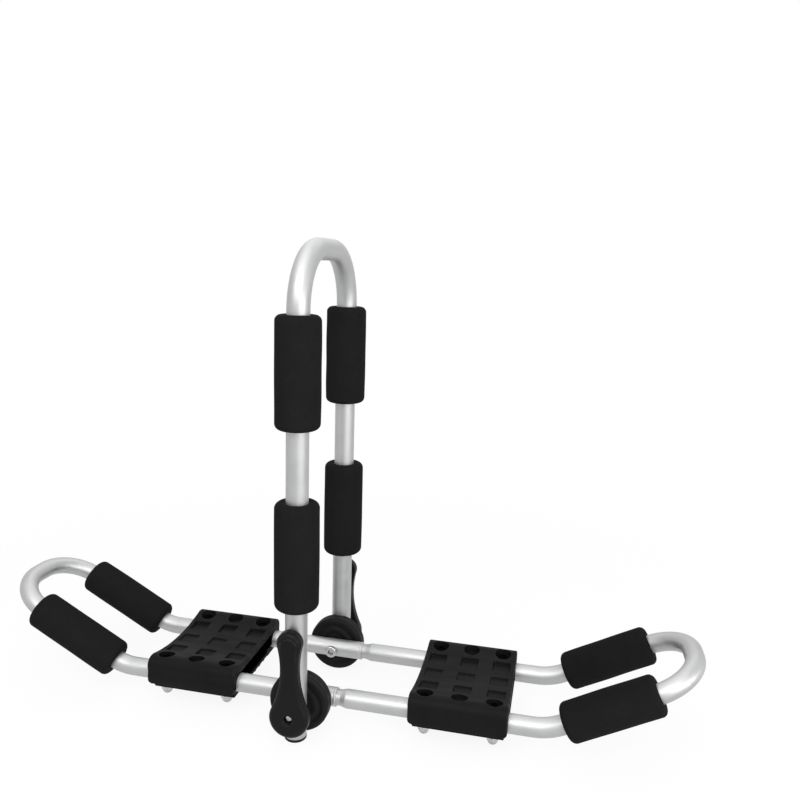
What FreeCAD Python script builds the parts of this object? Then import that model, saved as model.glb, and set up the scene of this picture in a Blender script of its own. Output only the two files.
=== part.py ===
# Folding kayak rack: a two-piece cradle frame that clamps on a roof bar,
# with a mast that folds on a bolted knuckle at each side.
#
# X runs along the rails, Y across them with the front at -Y, and Z is up.
# The origin is on the ground plane, under the middle of the frame.
# Front and rear pieces are the same shape, the rear one turned half round.
import FreeCAD, Part
import math
import os
import PartDesign
import Sketcher

SIZES = [
    # Frame tubes
    ("rail_tube_diameter", 22.2),
    ("tube_wall", 1.6),
    ("rail_spacing", 114),
    ("arm_apex_reach", 264),
    ("arm_angle", 28),
    ("arm_bend_radius", 70),
    ("arm_reach", 176),
    ("arm_corner_radius", 50),
    ("joint_offset", 18),
    ("spigot_length", 58),
    ("spigot_clearance", 0.2),
    ("neck_length", 5.5),
    ("cone_length", 6.5),
    # Mast tube and its end plugs
    ("mast_tube_diameter", 25.4),
    ("mast_offset", 22),
    ("leg_outset", 33),
    ("mast_height", 522),
    ("mast_corner_radius", 67),
    ("leg_drop", 34),
    ("plug_head", 3.5),
    ("plug_rim", 0.25),
    ("plug_depth", 14),
    ("plug_edge", 1.5),
    # Foam sleeves
    ("mast_foam_diameter", 51),
    ("arm_foam_diameter", 46),
    ("foam_edge", 9),
    ("foam_clearance", 0.6),
    ("mast_foam_length", 124),
    ("upper_foam_margin", 2.5),
    ("lower_foam_height", 123),
    ("left_foam_start", 9),
    ("right_foam_start", 21),
    ("foam_onto_loop", 5),
    # Clearances that all pieces share
    ("seat_gap", 0.3),
    ("pin_clearance", 0.08),
    ("bolt_clearance", 0.3),
    ("cut_overrun", 1),
    # Saddles
    ("saddle_offset", 163),
    ("saddle_length", 114),
    ("saddle_crest", 24),
    ("saddle_sag", 8),
    ("saddle_web", 4),
    ("saddle_skirt", 7.1),
    ("saddle_shoulder", 11),
    ("saddle_corner", 6),
    ("skirt_drop", 9),
    ("crest_outset", 4),
    ("bar_wall", 5.6),
    ("bar_wall_drop", 2),
    ("bolt_margin", 17),
    ("counterbore_diameter", 20),
    ("counterbore_depth", 8.5),
    ("recess_rib", 18),
    ("recess_width", 20),
    ("recess_pitch", 32),
    ("recess_depth", 2),
    ("bar_strip_thickness", 2),
    ("bar_strip_margin", 4),
    # Clamp plates under the saddles
    ("clamp_inset", 4),
    ("clamp_drop", 18),
    ("clamp_floor", 6),
    ("clamp_overhang", 9),
    ("clamp_top_gap", 1),
    ("clamp_edge", 3),
    ("clamp_bolt_clearance", 0.6),
    # Saddle bolts, washers and cap nuts
    ("bolt_diameter", 6),
    ("bolt_head_diameter", 11),
    ("bolt_head_height", 3.6),
    ("bolt_head_edge", 1.5),
    ("bolt_key", 4),
    ("bolt_key_depth", 2),
    ("bolt_tail", 5.5),
    ("washer_diameter", 13),
    ("washer_thickness", 1.2),
    ("cap_nut_flats", 10),
    ("cap_nut_height", 4.5),
    ("cap_nut_dome", 4.2),
    # Knuckle halves
    ("knuckle_diameter", 72),
    ("rail_knuckle_wrap", 4.1),
    ("mast_knuckle_wrap", 5.7),
    ("knuckle_gap", 0.3),
    ("knuckle_chamfer", 3),
    ("knuckle_groove_diameter", 50),
    ("knuckle_groove_width", 3),
    ("knuckle_groove_depth", 1.5),
    # Pivot bolts and spacers
    ("pivot_diameter", 8),
    ("pivot_head_diameter", 13),
    ("pivot_head_height", 4.5),
    ("pivot_head_edge", 1.2),
    ("pivot_key", 6),
    ("pivot_key_depth", 2.5),
    ("spacer_diameter", 26),
    ("spacer_wrap", 4),
    ("spacer_web", 2.2),
    # Clamping levers
    ("lever_thickness", 14),
    ("lever_boss_diameter", 46.6),
    ("lever_knob_diameter", 29),
    ("lever_knob_height", 90),
    ("lever_waist_radius", 115),
    ("lever_edge", 3.5),
    ("lever_hole_diameter", 9.5),
    ("lever_nut_flats", 13),
    ("lever_nut_height", 6.5),
    ("lever_nut_clearance", 0.1),
    ("pivot_tail", 3),
]

os.makedirs("parts", exist_ok=True)
doc = FreeCAD.newDocument("kayak_rack")
sheet = doc.addObject("Spreadsheet::Sheet", "Sizes")
for row, (alias, number) in enumerate(SIZES, start=1):
    sheet.set(f"A{row}", alias)
    sheet.set(f"B{row}", str(number))
    sheet.setAlias(f"B{row}", alias)
doc.recompute()

# Places that several pieces share, as expressions on the sheet
RAIL_RADIUS = "(Sizes.rail_tube_diameter / 2)"
RAIL_BORE_RADIUS = "(Sizes.rail_tube_diameter / 2 - Sizes.tube_wall)"
RAIL_SEAT_RADIUS = "(Sizes.rail_tube_diameter / 2 + Sizes.seat_gap)"
MAST_RADIUS = "(Sizes.mast_tube_diameter / 2)"
MAST_BORE_RADIUS = "(Sizes.mast_tube_diameter / 2 - Sizes.tube_wall)"
MAST_SEAT_RADIUS = "(Sizes.mast_tube_diameter / 2 + Sizes.seat_gap)"
RAIL_SIDE = "(Sizes.rail_spacing / 2)"
LEG_SIDE = "(Sizes.rail_spacing / 2 + Sizes.leg_outset)"
RAIL_LEVEL = "(Sizes.leg_drop + Sizes.plug_head)"
PIVOT_X = "(-Sizes.mast_offset)"
KNUCKLE_PLANE = "(Sizes.rail_spacing / 2 + Sizes.leg_outset / 2)"
BOLT_PITCH = "(Sizes.saddle_length / 2 - Sizes.bolt_margin)"
BOLT_BORE = "(Sizes.bolt_diameter + 2 * Sizes.bolt_clearance)"
CLAMP_BOLT_BORE = "(Sizes.bolt_diameter + 2 * Sizes.clamp_bolt_clearance)"
FIXED_PIVOT_BORE = "(Sizes.pivot_diameter + 2 * Sizes.bolt_clearance)"
TURNING_PIVOT_BORE = "(Sizes.pivot_diameter + 2 * Sizes.pin_clearance)"
NOTHING = "0"
BOLT_SEAT = "(Sizes.saddle_crest - Sizes.counterbore_depth)"
BOLT_HEAD_BASE = f"({BOLT_SEAT} + Sizes.washer_thickness)"
BOLT_END = "(-Sizes.clamp_drop - Sizes.bolt_tail)"
SPACER_FACE = f"({LEG_SIDE} + {MAST_RADIUS} + Sizes.spacer_web)"
LEVER_INNER = f"({SPACER_FACE} + Sizes.seat_gap)"
LEVER_OUTER = f"({LEVER_INNER} + Sizes.lever_thickness)"

SAME_LENGTH = 1e-3

nodes = {}


def value(expression):
    """The number that an expression on the sheet gives."""
    return float(sheet.evalExpression(expression))


def point(x, y, z):
    """A point in space from three expressions."""
    return FreeCAD.Vector(value(x), value(y), value(z))


def new_body(label, x=NOTHING, y=NOTHING, z=NOTHING, turned=False):
    """An empty body at a place on the sheet, turned half round for a rear piece."""
    body = doc.addObject("PartDesign::Body", label)
    body.Label = label
    half_turn = FreeCAD.Rotation(FreeCAD.Vector(0, 0, 1), 180 if turned else 0)
    body.Placement = FreeCAD.Placement(FreeCAD.Vector(), half_turn)
    body.setExpression("Placement.Base.x", x)
    body.setExpression("Placement.Base.y", y)
    body.setExpression("Placement.Base.z", z)
    nodes[label] = body
    return body


def new_sketch(body, name, plane, offset=NOTHING):
    """A sketch on one of the body's own planes, moved along its normal."""
    sketch = body.newObject("Sketcher::SketchObject", name)
    support = [item for item in body.Origin.OriginFeatures if item.Role == plane][0]
    sketch.AttachmentSupport = (support, [""])
    sketch.MapMode = "FlatFace"
    sketch.setExpression("AttachmentOffset.Base.z", offset)
    return sketch


def hold(sketch, element, vertex, x, y):
    """Ties a point of the sketch to a place that two expressions give."""
    across = sketch.addConstraint(
        Sketcher.Constraint("DistanceX", -1, 1, element, vertex, value(x)))
    sketch.setExpression(f"Constraints[{across}]", x)
    along = sketch.addConstraint(
        Sketcher.Constraint("DistanceY", -1, 1, element, vertex, value(y)))
    sketch.setExpression(f"Constraints[{along}]", y)


def outline(sketch, corners):
    """A closed outline of straight edges through corners given as expressions."""
    first = sketch.GeometryCount
    places = [FreeCAD.Vector(value(x), value(y), 0) for x, y in corners]
    for start, end in zip(places, places[1:] + places[:1]):
        sketch.addGeometry(Part.LineSegment(start, end), False)
    for index, (x, y) in enumerate(corners):
        before = first + (index - 1) % len(corners)
        sketch.addConstraint(Sketcher.Constraint("Coincident", before, 2, first + index, 1))
        hold(sketch, first + index, 1, x, y)


def circle(sketch, x, y, diameter):
    """A circle whose centre and diameter are expressions."""
    centre = FreeCAD.Vector(value(x), value(y), 0)
    index = sketch.addGeometry(Part.Circle(centre, FreeCAD.Vector(0, 0, 1), value(diameter) / 2))
    size = sketch.addConstraint(Sketcher.Constraint("Diameter", index, value(diameter)))
    sketch.setExpression(f"Constraints[{size}]", diameter)
    hold(sketch, index, 3, x, y)


def hexagon(sketch, flats):
    """A hexagon about the sketch's origin, given its width across flats."""
    reach = f"({flats}) / sqrt(3)"
    turns = [f"({corner} / 6 * 360 deg)" for corner in range(6)]
    outline(sketch, [(f"{reach} * cos{turn}", f"{reach} * sin{turn}") for turn in turns])


def pad(body, name, sketch, length, both_ways=False):
    """Extrudes a sketch along its normal, or evenly both ways."""
    feature = body.newObject("PartDesign::Pad", name)
    feature.Profile = sketch
    feature.SideType = "Symmetric" if both_ways else "One side"
    feature.setExpression("Length", length)
    doc.recompute()
    return feature


def pocket(body, name, sketch, length, both_ways=False, along_normal=False):
    """Cuts a sketch into the body, and makes sure that it takes material away."""
    before = body.Shape.Volume
    feature = body.newObject("PartDesign::Pocket", name)
    feature.Profile = sketch
    feature.SideType = "Symmetric" if both_ways else "One side"
    feature.Reversed = along_normal
    feature.setExpression("Length", length)
    doc.recompute()
    if not body.Shape.Volume < before:
        raise ValueError(f"{body.Label}: {name} cuts nothing")
    return feature


def revolve(body, name, sketch, axis):
    """Turns a sketch round one of its own axes."""
    feature = body.newObject("PartDesign::Revolution", name)
    feature.Profile = sketch
    feature.ReferenceAxis = (sketch, [axis])
    doc.recompute()
    return feature


def dress(body, kind, name, size, wanted):
    """Fillets or chamfers the edges of the body that a test picks."""
    tip = body.Tip
    edges = [f"Edge{number}" for number, edge in enumerate(tip.Shape.Edges, start=1) if wanted(edge)]
    feature = body.newObject(f"PartDesign::{kind}", name)
    feature.Base = (tip, edges)
    feature.setExpression("Radius" if kind == "Fillet" else "Size", size)
    doc.recompute()
    return feature


def near(first, second):
    """Whether two lengths are the same, apart from rounding."""
    return math.isclose(first, second, abs_tol=SAME_LENGTH)


def straight_along(edge, axis):
    """Whether an edge is a straight line along X, Y or Z."""
    if not isinstance(edge.Curve, Part.Line):
        return False
    return near(abs(getattr(edge.Curve.Direction, axis)), 1)


def rim_at(axis, level, radius):
    """A test for the round edge of one radius in the plane at one level of an axis."""
    def test(edge):
        if not isinstance(edge.Curve, Part.Circle):
            return False
        centre = getattr(edge.Curve.Center, axis)
        return near(centre, level) and near(edge.Curve.Radius, radius)
    return test


def rounded_path(corners, radii):
    """Straight runs through corners, each inner corner rounded by a tangent arc."""
    edges = []
    start = corners[0]
    for before, corner, after, radius in zip(corners, corners[1:], corners[2:], radii):
        towards = (corner - before).normalize()
        away = (after - corner).normalize()
        turn = towards.getAngle(away)
        first = corner - towards * (radius * math.tan(turn / 2))
        last = corner + away * (radius * math.tan(turn / 2))
        inwards = (away - towards).normalize()
        middle = corner + inwards * (radius / math.cos(turn / 2) - radius)
        edges.append(Part.LineSegment(start, first).toShape())
        edges.append(Part.Arc(first, middle, last).toShape())
        start = last
    edges.append(Part.LineSegment(start, corners[-1]).toShape())
    return Part.Wire(edges)


def swept_rod(name, path, radius):
    """A round rod along a path that starts along its first edge."""
    spine = doc.addObject("Part::Feature", f"{name}_path")
    spine.Shape = path
    first_edge = path.Edges[0]
    start = first_edge.valueAt(first_edge.FirstParameter)
    heading = first_edge.tangentAt(first_edge.FirstParameter)
    section = doc.addObject("Part::Circle", f"{name}_section")
    section.setExpression("Radius", radius)
    section.Placement = FreeCAD.Placement(start, FreeCAD.Rotation(FreeCAD.Vector(0, 0, 1), heading))
    rod = doc.addObject("Part::Sweep", name)
    rod.Sections = [section]
    rod.Spine = (spine, [f"Edge{number}" for number in range(1, len(path.Edges) + 1)])
    rod.Solid = True
    return rod


def rod_between(name, start, end, radius, end_radius=None):
    """A cylinder, or a cone where the end has its own radius, from one point to another."""
    rod = doc.addObject("Part::Cylinder" if end_radius is None else "Part::Cone", name)
    if end_radius is None:
        rod.setExpression("Radius", radius)
    else:
        rod.setExpression("Radius1", radius)
        rod.setExpression("Radius2", end_radius)
    origin = point(*start)
    heading = point(*end) - origin
    rod.Height = heading.Length
    turn = FreeCAD.Rotation(FreeCAD.Vector(0, 0, 1), heading)
    rod.Placement = FreeCAD.Placement(origin, turn)
    return rod


def cut_out(label, solids, tools):
    """The node that is left when the tools are cut from the fused solids."""
    base = solids[0]
    if len(solids) > 1:
        base = doc.addObject("Part::MultiFuse", f"{label}_solids")
        base.Shapes = solids
    removed = doc.addObject("Part::MultiFuse", f"{label}_tools")
    removed.Shapes = tools
    node = doc.addObject("Part::Cut", label)
    node.Base = base
    node.Tool = removed
    node.Label = label
    nodes[label] = node
    return node


def arm_path(side, start_x):
    """The centre line of a frame half: two rails, two arms and the loop that joins them."""
    along = "cos(Sizes.arm_angle * 1 deg)"
    rise = "sin(Sizes.arm_angle * 1 deg)"
    apex_x = f"{side} * Sizes.arm_apex_reach"
    tip_x = f"{side} * (Sizes.arm_apex_reach + Sizes.arm_reach * {along})"
    tip_z = f"{RAIL_LEVEL} + Sizes.arm_reach * {rise}"
    corners = [
        point(start_x, f"-{RAIL_SIDE}", RAIL_LEVEL),
        point(apex_x, f"-{RAIL_SIDE}", RAIL_LEVEL),
        point(tip_x, f"-{RAIL_SIDE}", tip_z),
        point(tip_x, RAIL_SIDE, tip_z),
        point(apex_x, RAIL_SIDE, RAIL_LEVEL),
        point(start_x, RAIL_SIDE, RAIL_LEVEL),
    ]
    bend = value("Sizes.arm_bend_radius")
    corner = value("Sizes.arm_corner_radius")
    return rounded_path(corners, [bend, corner, corner, bend])


def rail_drills(label, centre_x):
    """Drills for the three bolt holes of one saddle, straight down through both rails."""
    drills = []
    above = f"{RAIL_LEVEL} + {RAIL_RADIUS} + Sizes.cut_overrun"
    below = f"{RAIL_LEVEL} - {RAIL_RADIUS} - Sizes.cut_overrun"
    for step in (-1, 0, 1):
        for sign in (-1, 1):
            x = f"{centre_x} + {step} * {BOLT_PITCH}"
            y = f"{sign} * {RAIL_SIDE}"
            name = f"{label}_bolt_drill_{len(drills)}"
            drills.append(rod_between(name, (x, y, below), (x, y, above), f"{BOLT_BORE} / 2"))
    return drills


def pivot_drill(label, side, tube_radius, diameter):
    """One drill for the pivot bolts, along Y through both rails or both legs."""
    reach = f"({side} + {tube_radius} + Sizes.cut_overrun)"
    ends = [(PIVOT_X, f"{sign} * {reach}", RAIL_LEVEL) for sign in (-1, 1)]
    return rod_between(f"{label}_pivot_drill", ends[0], ends[1], f"{diameter} / 2")


def left_frame_tube():
    """The left half of the frame, a plain tube whose open ends take the spigots."""
    label = "left_frame_tube"
    path = arm_path(-1, "Sizes.joint_offset")
    outside = swept_rod(f"{label}_outside", path, RAIL_RADIUS)
    inside = swept_rod(f"{label}_inside", path, RAIL_BORE_RADIUS)
    drills = rail_drills(label, "-Sizes.saddle_offset")
    drills.append(pivot_drill(label, RAIL_SIDE, RAIL_RADIUS, TURNING_PIVOT_BORE))
    cut_out(label, [outside], [inside] + drills)


def right_frame_tube():
    """The right half of the frame, with ends swaged down to spigots."""
    label = "right_frame_tube"
    spigot_x = "(Sizes.joint_offset - Sizes.spigot_length)"
    neck_x = "(Sizes.joint_offset + Sizes.neck_length)"
    full_x = f"({neck_x} + Sizes.cone_length)"
    spigot_radius = f"({RAIL_BORE_RADIUS} - Sizes.spigot_clearance)"
    spigot_bore = f"({spigot_radius} - Sizes.tube_wall)"
    path = arm_path(1, full_x)
    solids = [swept_rod(f"{label}_outside", path, RAIL_RADIUS)]
    tools = [swept_rod(f"{label}_inside", path, RAIL_BORE_RADIUS)]
    for end, sign in (("front", -1), ("rear", 1)):
        stations = [(x, f"{sign} * {RAIL_SIDE}", RAIL_LEVEL) for x in (spigot_x, neck_x, full_x)]
        for group, slim, full in ((solids, spigot_radius, RAIL_RADIUS),
                                  (tools, spigot_bore, RAIL_BORE_RADIUS)):
            name = f"{label}_{end}_{'spigot' if group is solids else 'spigot_bore'}"
            group.append(rod_between(name, stations[0], stations[1], slim))
            group.append(rod_between(f"{name}_cone", stations[1], stations[2], slim, full))
    tools.append(pivot_drill(label, RAIL_SIDE, RAIL_RADIUS, TURNING_PIVOT_BORE))
    cut_out(label, solids, tools + rail_drills(label, "Sizes.saddle_offset"))


def mast_tube():
    """The mast, a tall loop whose legs stand outside the rails."""
    label = "mast_tube"
    foot = f"{RAIL_LEVEL} - Sizes.leg_drop"
    top = f"{RAIL_LEVEL} + Sizes.mast_height"
    corners = [
        point(PIVOT_X, f"-{LEG_SIDE}", foot),
        point(PIVOT_X, f"-{LEG_SIDE}", top),
        point(PIVOT_X, LEG_SIDE, top),
        point(PIVOT_X, LEG_SIDE, foot),
    ]
    path = rounded_path(corners, [value("Sizes.mast_corner_radius")] * 2)
    outside = swept_rod(f"{label}_outside", path, MAST_RADIUS)
    inside = swept_rod(f"{label}_inside", path, MAST_BORE_RADIUS)
    cut_out(label, [outside], [inside, pivot_drill(label, LEG_SIDE, MAST_RADIUS, FIXED_PIVOT_BORE)])


def end_plug(label, sign):
    """A plastic plug in the foot of a mast leg, with a rim a little wider than the tube."""
    body = new_body(label, PIVOT_X, f"{sign} * {LEG_SIDE}", f"{RAIL_LEVEL} - Sizes.leg_drop")
    rim = f"({MAST_RADIUS} + Sizes.plug_rim)"
    stem = f"({MAST_BORE_RADIUS} - Sizes.spigot_clearance)"
    sketch = new_sketch(body, f"{label}_profile", "YZ_Plane")
    outline(sketch, [
        (NOTHING, "-Sizes.plug_head"),
        (f"{rim} - Sizes.plug_edge", "-Sizes.plug_head"),
        (rim, "-Sizes.plug_head + Sizes.plug_edge"),
        (rim, NOTHING),
        (stem, NOTHING),
        (stem, "Sizes.plug_depth"),
        (NOTHING, "Sizes.plug_depth"),
    ])
    revolve(body, f"{label}_turned", sketch, "V_Axis")


def foam_sleeve(label, kind, tube_diameter, length, x, y, z, tilt=NOTHING):
    """A foam sleeve with round shoulders, standing on its lower end and tilted about Y."""
    diameter = f"Sizes.{kind}_foam_diameter"
    body = new_body(label, x, y, z)
    body.Placement.Rotation = FreeCAD.Rotation(FreeCAD.Vector(0, 1, 0), value(tilt))
    sketch = new_sketch(body, f"{label}_ring", "XY_Plane")
    circle(sketch, NOTHING, NOTHING, diameter)
    circle(sketch, NOTHING, NOTHING, f"{tube_diameter} + 2 * Sizes.foam_clearance")
    pad(body, f"{label}_sleeve", sketch, length)
    shoulders = [rim_at("z", level, value(diameter) / 2) for level in (0, value(length))]
    dress(body, "Fillet", f"{label}_shoulders", "Sizes.foam_edge",
          lambda edge: any(shoulder(edge) for shoulder in shoulders))


def mast_foams():
    """Two sleeves on each leg of the mast, the upper ones just under its bends."""
    length = "Sizes.mast_foam_length"
    upper = f"(Sizes.mast_height - Sizes.mast_corner_radius - Sizes.upper_foam_margin - {length})"
    for level, height in (("upper", upper), ("lower", "Sizes.lower_foam_height")):
        for end, sign in (("front", -1), ("rear", 1)):
            foam_sleeve(f"{level}_{end}_mast_foam", "mast", "Sizes.mast_tube_diameter", length, PIVOT_X,
                        f"{sign} * {LEG_SIDE}", f"{RAIL_LEVEL} + {height}")


def arm_foams():
    """One sleeve on each arm of the frame, ending where the loop begins."""
    stop = "(Sizes.arm_reach - Sizes.arm_corner_radius + Sizes.foam_onto_loop)"
    for side, side_sign in (("left", -1), ("right", 1)):
        start = f"Sizes.{side}_foam_start"
        length = f"({stop} - {start})"
        x = f"{side_sign} * (Sizes.arm_apex_reach + {start} * cos(Sizes.arm_angle * 1 deg))"
        z = f"{RAIL_LEVEL} + {start} * sin(Sizes.arm_angle * 1 deg)"
        tilt = f"{side_sign} * (90 - Sizes.arm_angle)"
        for end, end_sign in (("front", -1), ("rear", 1)):
            foam_sleeve(f"{side}_{end}_arm_foam", "arm", "Sizes.rail_tube_diameter", length, x,
                        f"{end_sign} * {RAIL_SIDE}", z, tilt)


def saddle(label, centre_x):
    """A plastic cover over both rails: a crest on each rail, a dip between them,
    counterbored bolt holes in the crests and a grid of shallow recesses in the dip."""
    body = new_body(label, centre_x, NOTHING, RAIL_LEVEL)
    side = f"({RAIL_SIDE} + {RAIL_SEAT_RADIUS} + Sizes.saddle_skirt)"
    bottom = "(-Sizes.skirt_drop)"
    bar_side = f"({RAIL_SIDE} - {RAIL_SEAT_RADIUS} - Sizes.bar_wall)"
    dip = "(Sizes.saddle_crest - Sizes.saddle_sag)"
    bar_top = f"({dip} - Sizes.saddle_web)"
    cut_length = "Sizes.saddle_length + 2 * Sizes.cut_overrun"

    block = new_sketch(body, f"{label}_block", "YZ_Plane")
    outline(block, [
        (f"-{side}", bottom),
        (f"-{side}", "Sizes.saddle_crest"),
        (side, "Sizes.saddle_crest"),
        (side, bottom),
    ])
    pad(body, f"{label}_body", block, "Sizes.saddle_length", both_ways=True)
    dress(body, "Fillet", f"{label}_shoulders", "Sizes.saddle_shoulder",
          lambda edge: straight_along(edge, "x") and near(edge.CenterOfMass.z, value("Sizes.saddle_crest")))

    half_chord = f"({RAIL_SIDE} + Sizes.crest_outset)"
    dip_radius = f"(({half_chord}^2 + Sizes.saddle_sag^2) / (2 * Sizes.saddle_sag))"
    dip_centre = f"({dip} + {dip_radius})"
    hollow = new_sketch(body, f"{label}_dip", "YZ_Plane")
    circle(hollow, NOTHING, dip_centre, f"2 * {dip_radius}")
    pocket(body, f"{label}_dip_cut", hollow, cut_length, both_ways=True)

    channels = new_sketch(body, f"{label}_rail_channels", "YZ_Plane")
    for sign in (-1, 1):
        circle(channels, f"{sign} * {RAIL_SIDE}", NOTHING, f"2 * {RAIL_SEAT_RADIUS}")
    pocket(body, f"{label}_rail_channel_cut", channels, cut_length, both_ways=True)
    mouths = new_sketch(body, f"{label}_rail_mouths", "YZ_Plane")
    for sign in (-1, 1):
        inner = f"{sign} * ({RAIL_SIDE} - {RAIL_SEAT_RADIUS})"
        outer = f"{sign} * ({RAIL_SIDE} + {RAIL_SEAT_RADIUS})"
        below = f"{bottom} - Sizes.cut_overrun"
        outline(mouths, [(inner, below), (inner, NOTHING), (outer, NOTHING), (outer, below)])
    pocket(body, f"{label}_rail_mouth_cut", mouths, cut_length, both_ways=True)

    bar = new_sketch(body, f"{label}_bar_channel", "YZ_Plane")
    outline(bar, [
        (f"-{RAIL_SIDE}", f"{bottom} - Sizes.cut_overrun"),
        (f"-{RAIL_SIDE}", "-Sizes.bar_wall_drop"),
        (f"-{bar_side}", "-Sizes.bar_wall_drop"),
        (f"-{bar_side}", bar_top),
        (bar_side, bar_top),
        (bar_side, "-Sizes.bar_wall_drop"),
        (RAIL_SIDE, "-Sizes.bar_wall_drop"),
        (RAIL_SIDE, f"{bottom} - Sizes.cut_overrun"),
    ])
    pocket(body, f"{label}_bar_channel_cut", bar, cut_length, both_ways=True)

    dress(body, "Fillet", f"{label}_skirt_corners", "Sizes.saddle_corner",
          lambda edge: straight_along(edge, "y") and near(edge.CenterOfMass.z, value(bottom)))

    bores = new_sketch(body, f"{label}_bolt_bores", "XY_Plane", "Sizes.saddle_crest")
    seats = new_sketch(body, f"{label}_bolt_seats", "XY_Plane", "Sizes.saddle_crest")
    for step in (-1, 0, 1):
        for sign in (-1, 1):
            place = (f"{step} * {BOLT_PITCH}", f"{sign} * {RAIL_SIDE}")
            circle(bores, *place, BOLT_BORE)
            circle(seats, *place, "Sizes.counterbore_diameter")
    pocket(body, f"{label}_bore_cut", bores, "Sizes.saddle_crest")
    pocket(body, f"{label}_seat_cut", seats, "Sizes.counterbore_depth")

    # Each band's floor is flat, one recess depth under the dip at its lowest place
    recess_length = f"({BOLT_PITCH} - Sizes.recess_rib)"
    for band, step in (("front", -1), ("middle", 0), ("rear", 1)):
        lowest_side = f"(abs({step}) * (Sizes.recess_pitch - Sizes.recess_width / 2))"
        floor = f"({dip_centre} - sqrt({dip_radius}^2 - {lowest_side}^2) - Sizes.recess_depth)"
        grid = new_sketch(body, f"{label}_{band}_recesses", "XY_Plane", floor)
        for column in (-1, 0, 1):
            left = f"{column} * {BOLT_PITCH} - {recess_length} / 2"
            right = f"{column} * {BOLT_PITCH} + {recess_length} / 2"
            near_side = f"{step} * Sizes.recess_pitch - Sizes.recess_width / 2"
            far_side = f"{step} * Sizes.recess_pitch + Sizes.recess_width / 2"
            outline(grid, [(left, near_side), (right, near_side), (right, far_side), (left, far_side)])
        pocket(body, f"{label}_{band}_recess_cut", grid, "Sizes.saddle_crest", along_normal=True)


def bar_strip(label, centre_x):
    """A rubber strip under the saddle, where it rests on the roof bar."""
    width = f"(2 * ({RAIL_SIDE} - {RAIL_SEAT_RADIUS} - Sizes.bar_wall - Sizes.seat_gap))"
    length = "(Sizes.saddle_length - 2 * Sizes.bar_strip_margin)"
    top = f"({RAIL_LEVEL} + Sizes.saddle_crest - Sizes.saddle_sag - Sizes.saddle_web)"
    strip = doc.addObject("Part::Box", label)
    strip.Label = label
    strip.setExpression("Length", length)
    strip.setExpression("Width", width)
    strip.setExpression("Height", "Sizes.bar_strip_thickness")
    strip.setExpression("Placement.Base.x", f"{centre_x} - {length} / 2")
    strip.setExpression("Placement.Base.y", f"-{width} / 2")
    strip.setExpression("Placement.Base.z", f"{top} - Sizes.bar_strip_thickness")
    nodes[label] = strip


def clamp_plate(label, centre_x):
    """The plate that closes the saddle from below, with a cradle under each rail."""
    body = new_body(label, centre_x, NOTHING, RAIL_LEVEL)
    length = "(Sizes.saddle_length - 2 * Sizes.clamp_inset)"
    side = f"({RAIL_SIDE} + Sizes.clamp_overhang)"
    bar_side = f"({RAIL_SIDE} - {RAIL_SEAT_RADIUS} - Sizes.bar_wall)"
    top = "(-Sizes.bar_wall_drop - Sizes.clamp_top_gap)"
    bottom = "(-Sizes.clamp_drop)"
    floor = "(Sizes.clamp_floor - Sizes.clamp_drop)"
    cut_length = f"{length} + 2 * Sizes.cut_overrun"
    profile = new_sketch(body, f"{label}_profile", "YZ_Plane")
    outline(profile, [
        (f"-{side}", bottom),
        (f"-{side}", top),
        (f"-{bar_side}", top),
        (f"-{bar_side}", floor),
        (bar_side, floor),
        (bar_side, top),
        (side, top),
        (side, bottom),
    ])
    pad(body, f"{label}_body", profile, length, both_ways=True)
    cradles = new_sketch(body, f"{label}_cradles", "YZ_Plane")
    for sign in (-1, 1):
        circle(cradles, f"{sign} * {RAIL_SIDE}", NOTHING, f"2 * {RAIL_SEAT_RADIUS}")
    pocket(body, f"{label}_cradle_cut", cradles, cut_length, both_ways=True)
    dress(body, "Fillet", f"{label}_lower_edges", "Sizes.clamp_edge",
          lambda edge: straight_along(edge, "x") and near(edge.CenterOfMass.z, value(bottom)))
    bores = new_sketch(body, f"{label}_bolt_bores", "XY_Plane")
    for step in (-1, 0, 1):
        for sign in (-1, 1):
            circle(bores, f"{step} * {BOLT_PITCH}", f"{sign} * {RAIL_SIDE}", CLAMP_BOLT_BORE)
    pocket(body, f"{label}_bore_cut", bores, "Sizes.clamp_drop + Sizes.cut_overrun")


def saddle_bolt(body, name):
    """A button-head bolt down through saddle, rail and clamp plate."""
    radius = "(Sizes.bolt_diameter / 2)"
    head = "(Sizes.bolt_head_diameter / 2)"
    head_top = f"({BOLT_HEAD_BASE} + Sizes.bolt_head_height)"
    profile = new_sketch(body, f"{name}_profile", "YZ_Plane")
    outline(profile, [
        (NOTHING, BOLT_END),
        (radius, BOLT_END),
        (radius, BOLT_HEAD_BASE),
        (head, BOLT_HEAD_BASE),
        (head, f"{head_top} - Sizes.bolt_head_edge"),
        (f"{head} - Sizes.bolt_head_edge", head_top),
        (NOTHING, head_top),
    ])
    revolve(body, f"{name}_turned", profile, "V_Axis")
    key = new_sketch(body, f"{name}_key", "XY_Plane", head_top)
    hexagon(key, "Sizes.bolt_key")
    pocket(body, f"{name}_key_cut", key, "Sizes.bolt_key_depth")


def saddle_washer(body, name):
    """A flat washer in the counterbore, under the bolt's head."""
    ring = new_sketch(body, f"{name}_ring", "XY_Plane", BOLT_SEAT)
    circle(ring, NOTHING, NOTHING, "Sizes.washer_diameter")
    circle(ring, NOTHING, NOTHING, BOLT_BORE)
    pad(body, f"{name}_disc", ring, "Sizes.washer_thickness")


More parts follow.
